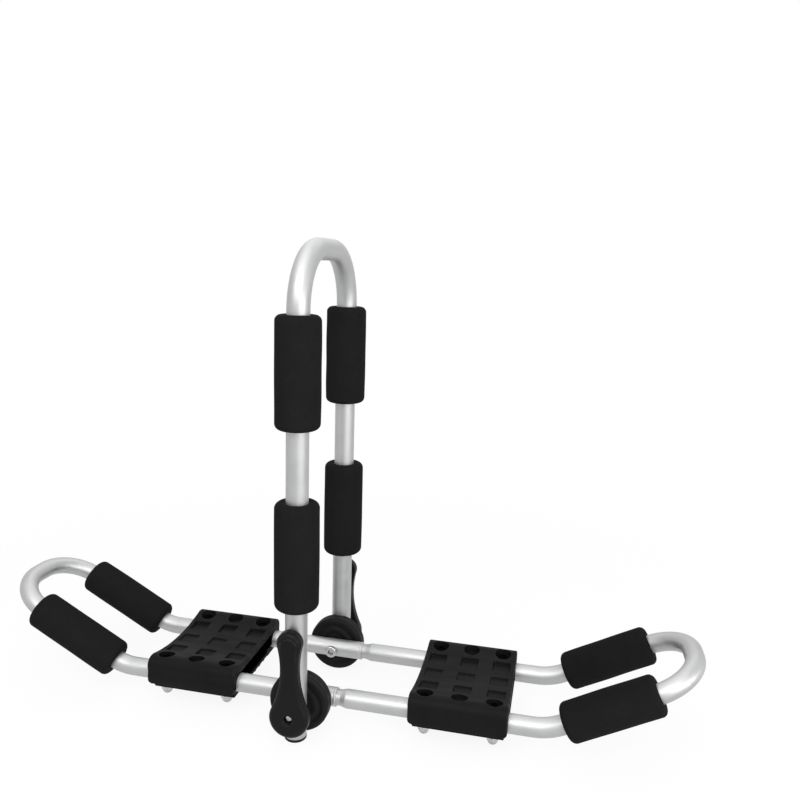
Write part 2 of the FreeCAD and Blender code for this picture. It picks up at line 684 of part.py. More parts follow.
def cap_nut(body, name):
    """A domed nut under the clamp plate: a hexagon with a rounded cap over the bolt's end."""
    top = "(-Sizes.clamp_drop)"
    shoulder = f"({top} - Sizes.cap_nut_height)"
    hexagon_sketch = new_sketch(body, f"{name}_hexagon", "XY_Plane", shoulder)
    hexagon(hexagon_sketch, "Sizes.cap_nut_flats")
    pad(body, f"{name}_nut", hexagon_sketch, "Sizes.cap_nut_height")
    dome = new_sketch(body, f"{name}_dome_face", "XY_Plane", f"{shoulder} - Sizes.cap_nut_dome")
    circle(dome, NOTHING, NOTHING, "Sizes.cap_nut_flats - 2 * Sizes.spigot_clearance")
    pad(body, f"{name}_dome", dome, "Sizes.cap_nut_dome")
    low_rim = rim_at("z", value(f"{shoulder} - Sizes.cap_nut_dome"),
                     value("Sizes.cap_nut_flats / 2 - Sizes.spigot_clearance"))
    dress(body, "Fillet", f"{name}_dome_round", "Sizes.cap_nut_dome - Sizes.spigot_clearance", low_rim)
    bore = new_sketch(body, f"{name}_bore", "XY_Plane", top)
    circle(bore, NOTHING, NOTHING, "Sizes.bolt_diameter + 2 * Sizes.pin_clearance")
    pocket(body, f"{name}_bore_cut", bore, "Sizes.bolt_tail + Sizes.seat_gap")


def fastener_group(label, make, centre_x):
    """The four equal fasteners of one saddle, as separate solids of one node."""
    body = new_body(f"{label}_pattern")
    del nodes[f"{label}_pattern"]
    make(body, label)
    copies = []
    for x_sign in (-1, 1):
        for y_sign in (-1, 1):
            copy = doc.addObject("App::Link", f"{label}_{len(copies)}")
            copy.LinkedObject = body
            place = point(f"{centre_x} + {x_sign} * {BOLT_PITCH}", f"{y_sign} * {RAIL_SIDE}", RAIL_LEVEL)
            copy.LinkPlacement = FreeCAD.Placement(place, FreeCAD.Rotation())
            copies.append(copy)
    group = doc.addObject("Part::Compound", label)
    group.Label = label
    group.Links = copies
    nodes[label] = group


def knuckle_half(label, turned, inner, outer, tube_side, tube_plane, tube_seat, bore, face):
    """One half of a knuckle: a disc from the inner to the outer distance, cut by its tube,
    with a chamfered rim and a ring groove on the face that looks at the tube."""
    body = new_body(label, PIVOT_X, NOTHING, RAIL_LEVEL, turned)
    disc = new_sketch(body, f"{label}_disc", "XZ_Plane", inner)
    circle(disc, NOTHING, NOTHING, "Sizes.knuckle_diameter")
    pad(body, f"{label}_body", disc, f"{outer} - {inner}")
    dress(body, "Chamfer", f"{label}_rim", "Sizes.knuckle_chamfer",
          rim_at("y", -value(face), value("Sizes.knuckle_diameter / 2")))
    ring = new_sketch(body, f"{label}_ring", "XZ_Plane", face)
    circle(ring, NOTHING, NOTHING, "Sizes.knuckle_groove_diameter")
    circle(ring, NOTHING, NOTHING, "Sizes.knuckle_groove_diameter - 2 * Sizes.knuckle_groove_width")
    pocket(body, f"{label}_ring_cut", ring, "Sizes.knuckle_groove_depth", along_normal=face == inner)
    seat = new_sketch(body, f"{label}_tube_seat", tube_plane)
    if tube_plane == "YZ_Plane":
        circle(seat, f"-{tube_side}", NOTHING, f"2 * {tube_seat}")
    else:
        circle(seat, NOTHING, f"-{tube_side}", f"2 * {tube_seat}")
    pocket(body, f"{label}_tube_seat_cut", seat,
           "Sizes.knuckle_diameter + 2 * Sizes.cut_overrun", both_ways=True)
    hole = new_sketch(body, f"{label}_bore", "XZ_Plane", f"{outer} + Sizes.cut_overrun")
    circle(hole, NOTHING, NOTHING, bore)
    pocket(body, f"{label}_bore_cut", hole, f"{outer} - {inner} + 2 * Sizes.cut_overrun")


def knuckles():
    """The rail half and the mast half of each knuckle, with a running gap between them."""
    for end, turned in (("front", False), ("rear", True)):
        rail_face = f"({RAIL_SIDE} + {RAIL_RADIUS} - Sizes.rail_knuckle_wrap)"
        leg_face = f"({LEG_SIDE} - {MAST_RADIUS} + Sizes.mast_knuckle_wrap)"
        knuckle_half(f"{end}_rail_knuckle", turned, rail_face, f"({KNUCKLE_PLANE} - Sizes.knuckle_gap / 2)",
                     RAIL_SIDE, "YZ_Plane", RAIL_SEAT_RADIUS, TURNING_PIVOT_BORE, rail_face)
        knuckle_half(f"{end}_mast_knuckle", turned, f"({KNUCKLE_PLANE} + Sizes.knuckle_gap / 2)", leg_face,
                     LEG_SIDE, "XY_Plane", MAST_SEAT_RADIUS, FIXED_PIVOT_BORE, leg_face)


def pivot_bolt(label, turned):
    """The bolt through rail, knuckle, leg and lever, with its head inside the rail."""
    body = new_body(label, PIVOT_X, NOTHING, RAIL_LEVEL, turned)
    seat = f"({RAIL_SIDE} - {RAIL_SEAT_RADIUS})"
    face = f"({seat} - Sizes.pivot_head_height)"
    tip = f"({LEVER_OUTER} - Sizes.pivot_tail)"
    head = "(Sizes.pivot_head_diameter / 2)"
    shank = "(Sizes.pivot_diameter / 2)"
    profile = new_sketch(body, f"{label}_profile", "YZ_Plane")
    outline(profile, [
        (f"-{face}", NOTHING),
        (f"-{face}", f"{head} - Sizes.pivot_head_edge"),
        (f"-{face} - Sizes.pivot_head_edge", head),
        (f"-{seat}", head),
        (f"-{seat}", shank),
        (f"-{tip}", shank),
        (f"-{tip}", NOTHING),
    ])
    revolve(body, f"{label}_turned", profile, "H_Axis")
    key = new_sketch(body, f"{label}_key", "XZ_Plane", face)
    hexagon(key, "Sizes.pivot_key")
    pocket(body, f"{label}_key_cut", key, "Sizes.pivot_key_depth", along_normal=True)


def leg_spacer(label, turned):
    """A plastic spacer with a hollow back that gives the lever a flat face on the round leg."""
    body = new_body(label, PIVOT_X, NOTHING, RAIL_LEVEL, turned)
    inner = f"({LEG_SIDE} + {MAST_RADIUS} - Sizes.spacer_wrap)"
    disc = new_sketch(body, f"{label}_disc", "XZ_Plane", inner)
    circle(disc, NOTHING, NOTHING, "Sizes.spacer_diameter")
    circle(disc, NOTHING, NOTHING, FIXED_PIVOT_BORE)
    pad(body, f"{label}_body", disc, f"{SPACER_FACE} - {inner}")
    seat = new_sketch(body, f"{label}_leg_seat", "XY_Plane")
    circle(seat, NOTHING, f"-{LEG_SIDE}", f"2 * {MAST_SEAT_RADIUS}")
    pocket(body, f"{label}_leg_seat_cut", seat, "Sizes.spacer_diameter + Sizes.cut_overrun", both_ways=True)


def lever_sketch(body, name, plane_offset):
    """The lever's outline: a round boss and a round knob joined by hollow flanks."""
    sketch = new_sketch(body, name, "XZ_Plane", plane_offset)
    boss = value("Sizes.lever_boss_diameter") / 2
    knob = value("Sizes.lever_knob_diameter") / 2
    waist = value("Sizes.lever_waist_radius")
    height = value("Sizes.lever_knob_height")
    # Each flank's centre is one boss-and-flank radius from the boss's centre
    # and one knob-and-flank radius from the knob's
    to_boss = boss + waist
    to_knob = knob + waist
    centre_y = (height ** 2 + to_boss ** 2 - to_knob ** 2) / (2 * height)
    centre_x = math.sqrt(to_boss ** 2 - centre_y ** 2)
    low_angle = math.atan2(centre_y, centre_x)
    high_angle = math.atan2(height - centre_y, centre_x)
    normal = FreeCAD.Vector(0, 0, 1)

    def arc(x, y, radius, start, end):
        rim = Part.Circle(FreeCAD.Vector(x, y, 0), normal, radius)
        return sketch.addGeometry(Part.ArcOfCircle(rim, start, end), False)

    boss_arc = arc(0, 0, boss, math.pi - low_angle, 2 * math.pi + low_angle)
    right_arc = arc(centre_x, centre_y, waist, math.pi - high_angle, math.pi + low_angle)
    knob_arc = arc(0, height, knob, -high_angle, math.pi + high_angle)
    left_arc = arc(-centre_x, centre_y, waist, -low_angle, high_angle)
    for first, first_end, second, second_end in (
            (boss_arc, 2, right_arc, 2), (right_arc, 1, knob_arc, 1),
            (knob_arc, 2, left_arc, 2), (left_arc, 1, boss_arc, 1)):
        sketch.addConstraint(Sketcher.Constraint("Tangent", first, first_end, second, second_end))
    for element, expression in (
            (boss_arc, "Sizes.lever_boss_diameter / 2"), (knob_arc, "Sizes.lever_knob_diameter / 2"),
            (right_arc, "Sizes.lever_waist_radius"), (left_arc, "Sizes.lever_waist_radius")):
        size = sketch.addConstraint(Sketcher.Constraint("Radius", element, value(expression)))
        sketch.setExpression(f"Constraints[{size}]", expression)
    hold(sketch, boss_arc, 3, NOTHING, NOTHING)
    hold(sketch, knob_arc, 3, NOTHING, "Sizes.lever_knob_height")
    return sketch


def lever(label, turned):
    """The clamping lever, closed when it stands along the leg."""
    body = new_body(label, PIVOT_X, NOTHING, RAIL_LEVEL, turned)
    pad(body, f"{label}_body", lever_sketch(body, f"{label}_outline", LEVER_INNER), "Sizes.lever_thickness")
    outer = value(LEVER_OUTER)
    dress(body, "Fillet", f"{label}_edges", "Sizes.lever_edge",
          lambda edge: near(edge.BoundBox.YMin, -outer) and near(edge.BoundBox.YMax, -outer))
    hole = new_sketch(body, f"{label}_hole", "XZ_Plane", f"{LEVER_OUTER} + Sizes.cut_overrun")
    circle(hole, NOTHING, NOTHING, "Sizes.lever_hole_diameter")
    pocket(body, f"{label}_hole_cut", hole, "Sizes.lever_thickness + 2 * Sizes.cut_overrun")
    seat = new_sketch(body, f"{label}_nut_seat", "XZ_Plane", LEVER_INNER)
    hexagon(seat, "Sizes.lever_nut_flats + 2 * Sizes.lever_nut_clearance")
    pocket(body, f"{label}_nut_seat_cut", seat,
           "Sizes.lever_nut_height + Sizes.lever_nut_clearance", along_normal=True)


def lever_nut(label, turned):
    """The steel nut set in the back of the lever, which draws the knuckle tight."""
    body = new_body(label, PIVOT_X, NOTHING, RAIL_LEVEL, turned)
    sketch = new_sketch(body, f"{label}_hexagon", "XZ_Plane", LEVER_INNER)
    hexagon(sketch, "Sizes.lever_nut_flats")
    circle(sketch, NOTHING, NOTHING, TURNING_PIVOT_BORE)
    pad(body, f"{label}_body", sketch, "Sizes.lever_nut_height")


left_frame_tube()
right_frame_tube()
mast_tube()
for end, sign in (("front", -1), ("rear", 1)):
    end_plug(f"{end}_end_plug", sign)
mast_foams()
arm_foams()
for side, centre in (("left", "-Sizes.saddle_offset"), ("right", "Sizes.saddle_offset")):
    saddle(f"{side}_saddle", centre)
    bar_strip(f"{side}_bar_strip", centre)
    clamp_plate(f"{side}_clamp_plate", centre)
    fastener_group(f"{side}_saddle_bolts", saddle_bolt, centre)
    fastener_group(f"{side}_saddle_washers", saddle_washer, centre)
    fastener_group(f"{side}_cap_nuts", cap_nut, centre)
knuckles()
for end, turned in (("front", False), ("rear", True)):
    pivot_bolt(f"{end}_pivot_bolt", turned)
    leg_spacer(f"{end}_leg_spacer", turned)
    lever(f"{end}_lever", turned)
    lever_nut(f"{end}_lever_nut", turned)

doc.recompute()
for item in doc.Objects:
    if "Invalid" in item.State or "Error" in item.State:
        raise ValueError(f"{item.Label} failed: {item.State}")
for label, node in nodes.items():
    if node.Shape.isNull() or not node.Shape.isValid():
        raise ValueError(f"{label} has no valid shape")
for label, node in nodes.items():
    node.Shape.exportStep(f"parts/{label}.step")
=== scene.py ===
import math

import bmesh
import bpy
import numpy as np
from mathutils import Matrix, Vector


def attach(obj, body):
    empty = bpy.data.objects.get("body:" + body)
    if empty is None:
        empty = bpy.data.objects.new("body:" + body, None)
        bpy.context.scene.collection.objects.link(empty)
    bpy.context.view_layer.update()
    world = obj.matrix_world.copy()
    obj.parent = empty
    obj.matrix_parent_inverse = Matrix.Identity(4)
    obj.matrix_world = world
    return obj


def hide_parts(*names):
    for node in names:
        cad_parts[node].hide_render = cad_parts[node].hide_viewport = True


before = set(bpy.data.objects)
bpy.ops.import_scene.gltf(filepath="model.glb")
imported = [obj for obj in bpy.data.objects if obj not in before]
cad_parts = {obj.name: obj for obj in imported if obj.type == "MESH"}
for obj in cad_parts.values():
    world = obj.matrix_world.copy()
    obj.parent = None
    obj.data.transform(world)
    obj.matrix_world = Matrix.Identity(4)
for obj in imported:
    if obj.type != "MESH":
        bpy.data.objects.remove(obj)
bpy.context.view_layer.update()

# ---- Frame tubes
# Two drawn aluminium tubes, satin anodised, each bent up at the sides and round at its end.
# The right one's ends are swaged to a slimmer neck and pushed into the open ends of the left one.
rail_radius = 11.1
rail_bore = 9.5
rail_side = 57
rail_level = 37.5
arm_apex = 264
arm_rise = math.radians(28)
arm_bend = 70
arm_reach = 176
loop_corner = 50
joint_end = 18
spigot_end = -40
spigot_radius = 9.3
spigot_bore = 7.7
neck = (63.5, 70.0)
anodised_silver = (0.460, 0.462, 0.465)
anodised_shade = (0.410, 0.412, 0.415)


def each_of(parts, name, width=1, kind=float):
    """What each of a mesh's parts holds under a name, as an array with a row for each."""
    values = np.empty(len(parts) * width, kind)
    parts.foreach_get(name, values)
    return values if width == 1 else values.reshape(-1, width)


def eased(share):
    """A share from 0 to 1 with a soft start and stop: three of its squares less two cubes."""
    return share * share * (3 - 2 * share)


def outward_rounding(mesh):
    """How tightly the surface rounds outwards at each vertex, from 0 to 1: the turn between
    two neighbouring faces over the distance of their middles, where one lies behind the other."""
    blunt, sharp = 130, 500
    edge = each_of(mesh.loops, "edge_index", kind=np.int32)
    corners = each_of(mesh.polygons, "loop_total", kind=np.int32)
    normal = each_of(mesh.polygons, "normal", 3)
    middle = each_of(mesh.polygons, "center", 3)
    ends = each_of(mesh.edges, "vertices", 2, np.int32)
    face = np.repeat(np.arange(len(corners)), corners)
    order = np.argsort(edge, kind="stable")
    edge, face = edge[order], face[order]
    pair = np.flatnonzero(edge[1:] == edge[:-1])
    one, other = face[pair], face[pair + 1]
    step = middle[other] - middle[one]
    turn = np.arccos(np.clip((normal[one] * normal[other]).sum(1), -1, 1))
    behind = (step * normal[one]).sum(1) < 0
    tightness = np.where(behind, turn / (np.linalg.norm(step, axis=1) + 1e-9), 0)
    rim = np.zeros(len(mesh.vertices))
    for end in (0, 1):
        np.maximum.at(rim, ends[edge[pair], end], tightness)
    return eased(np.clip((rim - blunt) / (sharp - blunt), 0, 1))


def skin(name, grids, caps=(), crease=38):
    """A mesh object, in metres, from grids of points in millimetres, rows by columns by three.
    A grid may come with its points' places along and across the piece and a mask of the faces
    that are kept (... for all). Caps are flat rings of points. Points that meet are welded."""
    metres = 0.001
    spots, places, faces, count = [], [], [], 0
    for grid in grids:
        points, place, kept = grid if isinstance(grid, tuple) else (grid, grid, ...)
        rows, columns = points.shape[:2]
        index = count + np.arange(rows * columns).reshape(rows, columns)
        quads = np.stack([index[:-1, :-1], index[1:, :-1], index[1:, 1:], index[:-1, 1:]], -1)
        spots.append(points.reshape(-1, 3))
        places.append(place.reshape(-1, 3))
        faces += quads[kept].reshape(-1, 4).tolist()
        count += rows * columns
    for ring in caps:
        spots.append(ring)
        places.append(ring)
        faces.append(list(range(count, count + len(ring))))
        count += len(ring)
    mesh = bpy.data.meshes.new(name)
    mesh.from_pydata((np.concatenate(spots) * metres).tolist(), [], faces)
    place = mesh.attributes.new("place", "FLOAT_VECTOR", "POINT")
    place.data.foreach_set("vector", (np.concatenate(places) * metres).astype(np.float32).ravel())
    shell = bmesh.new()
    shell.from_mesh(mesh)
    bmesh.ops.remove_doubles(shell, verts=shell.verts, dist=1e-6)
    bmesh.ops.dissolve_degenerate(shell, edges=shell.edges, dist=1e-7)
    bmesh.ops.recalc_face_normals(shell, faces=shell.faces)
    shell.to_mesh(mesh)
    shell.free()
    rim = mesh.attributes.new("rim", "FLOAT", "POINT")
    rim.data.foreach_set("value", outward_rounding(mesh).astype(np.float32))
    mesh.shade_smooth()
    mesh.set_sharp_from_angle(angle=math.radians(crease))
    piece = bpy.data.objects.new(name, mesh)
    bpy.context.scene.collection.objects.link(piece)
    return piece


def turned_about(vectors, axis, angle):
    """Vectors turned about one axis, each by its own angle: what lies along the axis stays,
    and the rest swings towards its cross product with the axis."""
    along = (vectors @ axis)[:, None] * axis
    aside = vectors - along
    return along + np.cos(angle) * aside + np.sin(angle) * np.cross(axis, aside)


def follow(start, heading, up, legs, distance):
    """Places, headings and upward sides along a bent line. A leg is a length, a bend radius
    (0 where it is straight) and a bend axis; each point takes as much of every leg as its
    distance reaches, straight on or round the arc."""
    spot = np.tile(np.array(start, float), (len(distance), 1))
    ahead = np.tile(np.array(heading, float), (len(distance), 1))
    side = np.tile(np.array(up, float), (len(distance), 1))
    done = 0
    for length, radius, axis in legs:
        reach = np.clip(distance - done, 0, length)[:, None]
        if radius:
            angle = reach / radius
            inward = np.cross(axis, ahead)
            spot = spot + radius * (np.sin(angle) * ahead + (1 - np.cos(angle)) * inward)
            ahead, side = (turned_about(each, np.array(axis, float), angle) for each in (ahead, side))
        else:
            spot = spot + reach * ahead
        done += length
    return spot, ahead, side


def stations(legs, extra):
    """Distances along a bent line where its rings stand: every 3 degrees on a bend,
    every 40 mm on a straight leg, and at the extra places that its ends need."""
    found, done = [np.array(extra, float)], 0
    for length, radius, axis in legs:
        steps = max(1, math.ceil(length / (radius * math.radians(3) if radius else 40)))
        found.append(done + np.linspace(0, length, steps + 1))
        done += length
    return np.unique(np.round(np.concatenate(found), 4))


def pipe(line, distance, radius, around=64):
    """A grid round a line: at each distance, a circle of its radius in the plane of the line's
    upward side and the side across it. Place is the distance, and the point across the tube."""
    spot, ahead, up = line(distance)
    across = np.cross(ahead, up)
    angle = np.linspace(0, 2 * np.pi, around + 1)
    ring = radius[:, None, None] * (np.cos(angle)[None, :, None] * up[:, None]
                                    + np.sin(angle)[None, :, None] * across[:, None])
    place = np.stack([np.broadcast_to(distance[:, None], ring.shape[:2]),
                      radius[:, None] * np.cos(angle), radius[:, None] * np.sin(angle)], -1)
    return spot[:, None] + ring, place, ...


def walled_pipe(line, distance, outside, bore, around=64):
    """A tube wall in one closed grid: out along its outside and back along its bore."""
    there_and_back = np.r_[distance, distance[::-1], distance[:1]]
    radius = np.r_[outside, bore[::-1], outside[:1]]
    return pipe(line, there_and_back, radius, around)


def half_frame_legs(hand, end):
    """The legs of one half of the frame from its end on the front rail to that on the rear one,
    and the side that faces up on them. The hand is 1 for the right half, -1 for the left."""
    lean = arm_bend * math.tan(arm_rise / 2)
    rail = arm_apex - lean - hand * end
    arm = arm_reach - lean - loop_corner
    up_bend = (arm_bend * arm_rise, arm_bend, (0, -hand, 0))
    down_bend = (arm_bend * arm_rise, arm_bend, (0, hand, 0))
    raised = hand * np.array([-hand * math.sin(arm_rise), 0, math.cos(arm_rise)])
    corner = (loop_corner * math.pi / 2, loop_corner, tuple(raised))
    across = 2 * (rail_side - loop_corner)
    return [(rail, 0, None), up_bend, (arm, 0, None), corner, (across, 0, None),
            corner, (arm, 0, None), down_bend, (rail, 0, None)]


def node(tree, kind, wires=None, **options):
    """One shader node. Options are its own settings, and wires gives each named or numbered
    input a value or another node's output."""
    made = tree.nodes.new("ShaderNode" + kind)
    for option, choice in options.items():
        setattr(made, option, choice)
    for place, source in (wires or {}).items():
        if isinstance(source, bpy.types.NodeSocket):
            tree.links.new(source, made.inputs[place])
        else:
            made.inputs[place].default_value = source
    return made


def effect(name, **inputs):
    """An empty effect that materials share, and its named inputs: a number with its start, or
    a vector where no start is given."""
    group = bpy.data.node_groups.new(name, "ShaderNodeTree")
    for label, start in inputs.items():
        kind = "NodeSocketVector" if start is None else "NodeSocketFloat"
        socket = group.interface.new_socket(label, in_out="INPUT", socket_type=kind)
        if start is not None:
            socket.default_value = start
    return group, group.nodes.new("NodeGroupInput").outputs


def puts_out(group, **results):
    """Gives an effect its named outputs."""
    for label in results:
        group.interface.new_socket(label, in_out="OUTPUT", socket_type="NodeSocketFloat")
    last = group.nodes.new("NodeGroupOutput")
    for label, source in results.items():
        group.links.new(source, last.inputs[label])


def placed(tree, group, **wires):
    """The outputs of a shared effect that is placed in a material."""
    return node(tree, "Group", wires, node_tree=group).outputs


def noise(tree, vector, scale, detail=2, roughness=0.5):
    """A smooth random value from 0 to 1 over the surface, with its number of waves to the metre."""
    return node(tree, "TexNoise", {"Vector": vector, "Scale": scale, "Detail": detail,
                                   "Roughness": roughness}).outputs["Fac"]


def stretched(tree, vector, scale, rotation=(0, 0, 0)):
    """Places scaled by their axis and turned, so that a pattern on them is drawn out or slants."""
    return node(tree, "Mapping", {"Vector": vector, "Scale": scale, "Rotation": rotation}).outputs[0]


def between(tree, value, low, high, to_low=0.0, to_high=1.0, kind="SMOOTHSTEP"):
    """The value's way from low to high, carried over to another range."""
    return node(tree, "MapRange", {"Value": value, "From Min": low, "From Max": high,
                                   "To Min": to_low, "To Max": to_high},
                interpolation_type=kind).outputs["Result"]


def maths(tree, operation, one, other):
    """Two values put together by one operation."""
    return node(tree, "Math", {0: one, 1: other}, operation=operation).outputs[0]


def times(tree, one, other):
    """One value times another."""
    return maths(tree, "MULTIPLY", one, other)


def weighed(tree, one, share, other, rest):
    """Two values, each times its own share, added up."""
    return maths(tree, "ADD", times(tree, one, share), times(tree, other, rest))


def blended(tree, share, one, other):
    """One colour going over to another by a share. Each is a node's output, or its red, green
    and blue."""
    one, other = (each + (1,) if isinstance(each, tuple) else each for each in (one, other))
    return node(tree, "Mix", {0: share, 6: one, 7: other}, data_type="RGBA").outputs[2]


def bare_material(name, **constants):
    """A new material and its Principled shader, with the values that are the same all over."""
    made = bpy.data.materials.new(name)
    made.use_nodes = True
    shader = made.node_tree.nodes["Principled BSDF"]
    for label, number in constants.items():
        shader.inputs[label.replace("_", " ")].default_value = number
    return made, made.node_tree, shader


def finish_surface(tree, shader, colour, roughness, height, depth):
    """Leads the colour, the roughness and a relief of the given depth in metres to the shader."""
    tree.links.new(colour, shader.inputs["Base Color"])
    tree.links.new(roughness, shader.inputs["Roughness"])
    bump = node(tree, "Bump", {"Height": height, "Distance": depth, "Strength": 1.0})
    tree.links.new(bump.outputs["Normal"], shader.inputs["Normal"])


def attribute(tree, name, output):
    """The value or vector that a piece's vertices keep under a name."""
    return node(tree, "Attribute", attribute_name=name).outputs[output]


# Drawing leaves fine lines along a tube, anodising a faint grain and cloud over them
drawn_grain, given = effect("drawn grain", Place=None)
place = given["Place"]
slant = stretched(drawn_grain, place, (60.0, 900.0, 900.0), (0, 0, 0.5))
scratch = between(drawn_grain, noise(drawn_grain, slant, 1.0, 1), 0.70, 0.76)
patch = between(drawn_grain, noise(drawn_grain, place, 21.0, 1), 0.56, 0.66)
puts_out(drawn_grain,
         Lines=noise(drawn_grain, stretched(drawn_grain, place, (0.012, 1.0, 1.0)), 1500.0, 3, 0.6),
         Cloud=noise(drawn_grain, place, 38.0, 3, 0.55), Grain=noise(drawn_grain, place, 3200.0, 1),
         Scuffs=times(drawn_grain, scratch, patch))

# Handling rubs the rounded edges of any piece, in patches
edge_wear, given = effect("edge wear", Rim=0.0, Place=None, Patch=180.0)
rubbed = between(edge_wear, noise(edge_wear, given["Place"], given["Patch"], 4, 0.65), 0.38, 0.66)
puts_out(edge_wear, Wear=times(edge_wear, given["Rim"], rubbed))


def wear_of(tree, place, patch=180.0):
    """How worn a piece's rounded edges are, with the number of patches to the metre."""
    return placed(tree, edge_wear, Rim=attribute(tree, "rim", "Fac"), Place=place, Patch=patch)["Wear"]


anodised, tree, shader = bare_material("satin_anodised_aluminium", Metallic=0.86)
place = attribute(tree, "place", "Vector")
drawn = placed(tree, drawn_grain, Place=place)
tone = weighed(tree, between(tree, drawn["Cloud"], 0.3, 0.7), 0.45, drawn["Lines"], 0.55)
colour = blended(tree, tone, anodised_shade, anodised_silver)
colour = blended(tree, times(tree, wear_of(tree, place), 0.5), colour, (0.66, 0.66, 0.65))
rough = between(tree, drawn["Cloud"], 0.25, 0.75, 0.43, 0.51)
rough = maths(tree, "SUBTRACT", rough, times(tree, drawn["Scuffs"], 0.12))
relief = weighed(tree, drawn["Lines"], 0.6, drawn["Grain"], 0.4)
relief = maths(tree, "SUBTRACT", relief, times(tree, drawn["Scuffs"], 0.5))
finish_surface(tree, shader, colour, rough, relief, 0.00003)

for side, hand, end in (("left", -1, joint_end), ("right", 1, spigot_end)):
    legs = half_frame_legs(hand, end)
    whole = sum(leg[0] for leg in legs)
    if hand == 1:
        marks = [0.4, 0.8, 62.9, 63.2, neck[0], 64.0, 64.6, 68.9, 69.6, neck[1], 71.0]
        widths = [spigot_radius - 0.5, spigot_radius - 0.1, spigot_radius, spigot_radius,
                  spigot_radius + 0.06, spigot_radius + 0.22,
                  rail_radius - 0.35, rail_radius - 0.1, rail_radius - 0.03, rail_radius]
        shape = [0.0, 0.4, 0.8, 62.9, neck[0], 64.0, 68.9, 69.6, neck[1] + 0.4, 71.0]
        bores = ([0.0, neck[0], neck[1]], [spigot_bore, spigot_bore, rail_bore])
    else:
        marks = [0.15, 0.4, 2.6, 2.9, 3.3, 3.7, 4.0]
        widths = [rail_radius - 0.35, rail_radius - 0.1, rail_radius + 0.12, rail_radius + 0.12,
                  rail_radius, rail_radius - 0.22, rail_radius, rail_radius]
        shape = [0.0, 0.15, 0.4, 2.6, 2.9, 3.3, 3.7, 4.0]
        bores = ([0.0, 1.0], [rail_bore, rail_bore])
    distance = stations(legs, marks + [whole - mark for mark in marks])
    from_end = np.minimum(distance, whole - distance)
    outside = np.interp(from_end, shape, widths)
    bore = np.interp(from_end, *bores)
    piece = skin(f"{side}_half_of_the_frame", [walled_pipe(
        lambda s: follow((end, -rail_side, rail_level), (hand, 0, 0), (0, 0, 1), legs, s),
        distance, outside, bore)])
    piece.data.materials.append(anodised)
    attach(piece, "frame")
    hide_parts(f"{side}_frame_tube")

# ---- Saddles
# Injection-moulded covers of matte black plastic, one over both rails at each side: a crest
# on each rail, a shallow dip between them, six counterbores and nine pockets.
saddle_offset = 163
saddle_places = (("left", -saddle_offset), ("right", saddle_offset))
saddle_half = 57
saddle_side = 75.5
saddle_bottom = 28.5
crest_level = 61.5
crest_side = 61
dip_level = 53.5
dip_radius = (crest_side ** 2 + (crest_level - dip_level) ** 2) / (2 * (crest_level - dip_level))
shoulder = 11
skirt_corner = 6
end_rounding = 1.8
bolt_pitch = 40
counterbore = 10.0
bolt_seat = 53.0
bolt_bore = 3.3
bore_foot = 50.9
pocket_half = (11, 10)
pocket_pitch = 32
pocket_corner = 1.6
pocket_wall = 0.9
pocket_sink = 2
bar_side = 40
bar_top = 49.5
bar_wall_foot = 35.5
rail_seat = 11.4
skirt_top = 49.8
hollow_top = 50.5
hollow_height = 13
hollow_depth = 0.75
grid_step = 2.6
hole_patch = 13
upright = ((1, 0, 0), (0, 1, 0), (0, 0, 1))
black_plastic = (0.0075, 0.0075, 0.0077)
rubbed_plastic = (0.019, 0.019, 0.0194)


def quarter_round(radius, beyond):
    """How far a quarter round has fallen at a distance beyond its start: its radius, less the
    height of the circle there."""
    return radius - np.sqrt(np.clip(radius ** 2 - np.maximum(beyond, 0) ** 2, 0, None))


def saddle_top(y):
    """The height of a saddle's top across it: a shallow arc in the middle, level crests,
    and a quarter round down to the skirt."""
    side = np.abs(y)
    arc = dip_level + quarter_round(dip_radius, np.minimum(side, crest_side))
    return arc - quarter_round(shoulder, side - saddle_side + shoulder)


def pocket_depth(x, y):
    """How far the pockets lower the top: each band's floor is level, a little under the lowest
    edge of its band, and a steep smooth wall joins it to the top along a rectangle with round
    corners."""
    depth = np.zeros(np.broadcast(x, y).shape)
    for band in (-1, 0, 1):
        lowest = saddle_top(np.array(abs(band) * (pocket_pitch - pocket_half[1])))
        for column in (-1, 0, 1):
            beyond_x = np.abs(x - column * bolt_pitch) - pocket_half[0] + pocket_corner
            beyond_y = np.abs(y - band * pocket_pitch) - pocket_half[1] + pocket_corner
            outside = (np.hypot(np.maximum(beyond_x, 0), np.maximum(beyond_y, 0))
                       + np.minimum(np.maximum(beyond_x, beyond_y), 0) - pocket_corner)
            share = eased(np.clip((0.15 - outside) / pocket_wall, 0, 1))
            depth = np.maximum(depth, share * (saddle_top(y) - lowest + pocket_sink))
    return depth


def lines_with(edges, low, high, plain, fine=0.3, band=1.5):
    """Grid lines from low to high, spaced plainly, but finely within a band of each edge."""
    found = [np.arange(low, high, plain), [low, high]]
    for edge in edges:
        found.append(np.arange(edge - band, edge + band + fine / 2, fine))
    found = np.unique(np.round(np.concatenate(found), 3))
    found = found[(found >= low) & (found <= high)]
    near_edge = np.min(np.abs(found[:, None] - np.array(edges)[None]), axis=1) <= band + 0.001
    plain_ones = found[~near_edge]
    clear = np.min(np.abs(plain_ones[:, None] - found[near_edge][None]), axis=1) > fine
    return np.unique(np.r_[found[near_edge], plain_ones[clear], [low, high]])


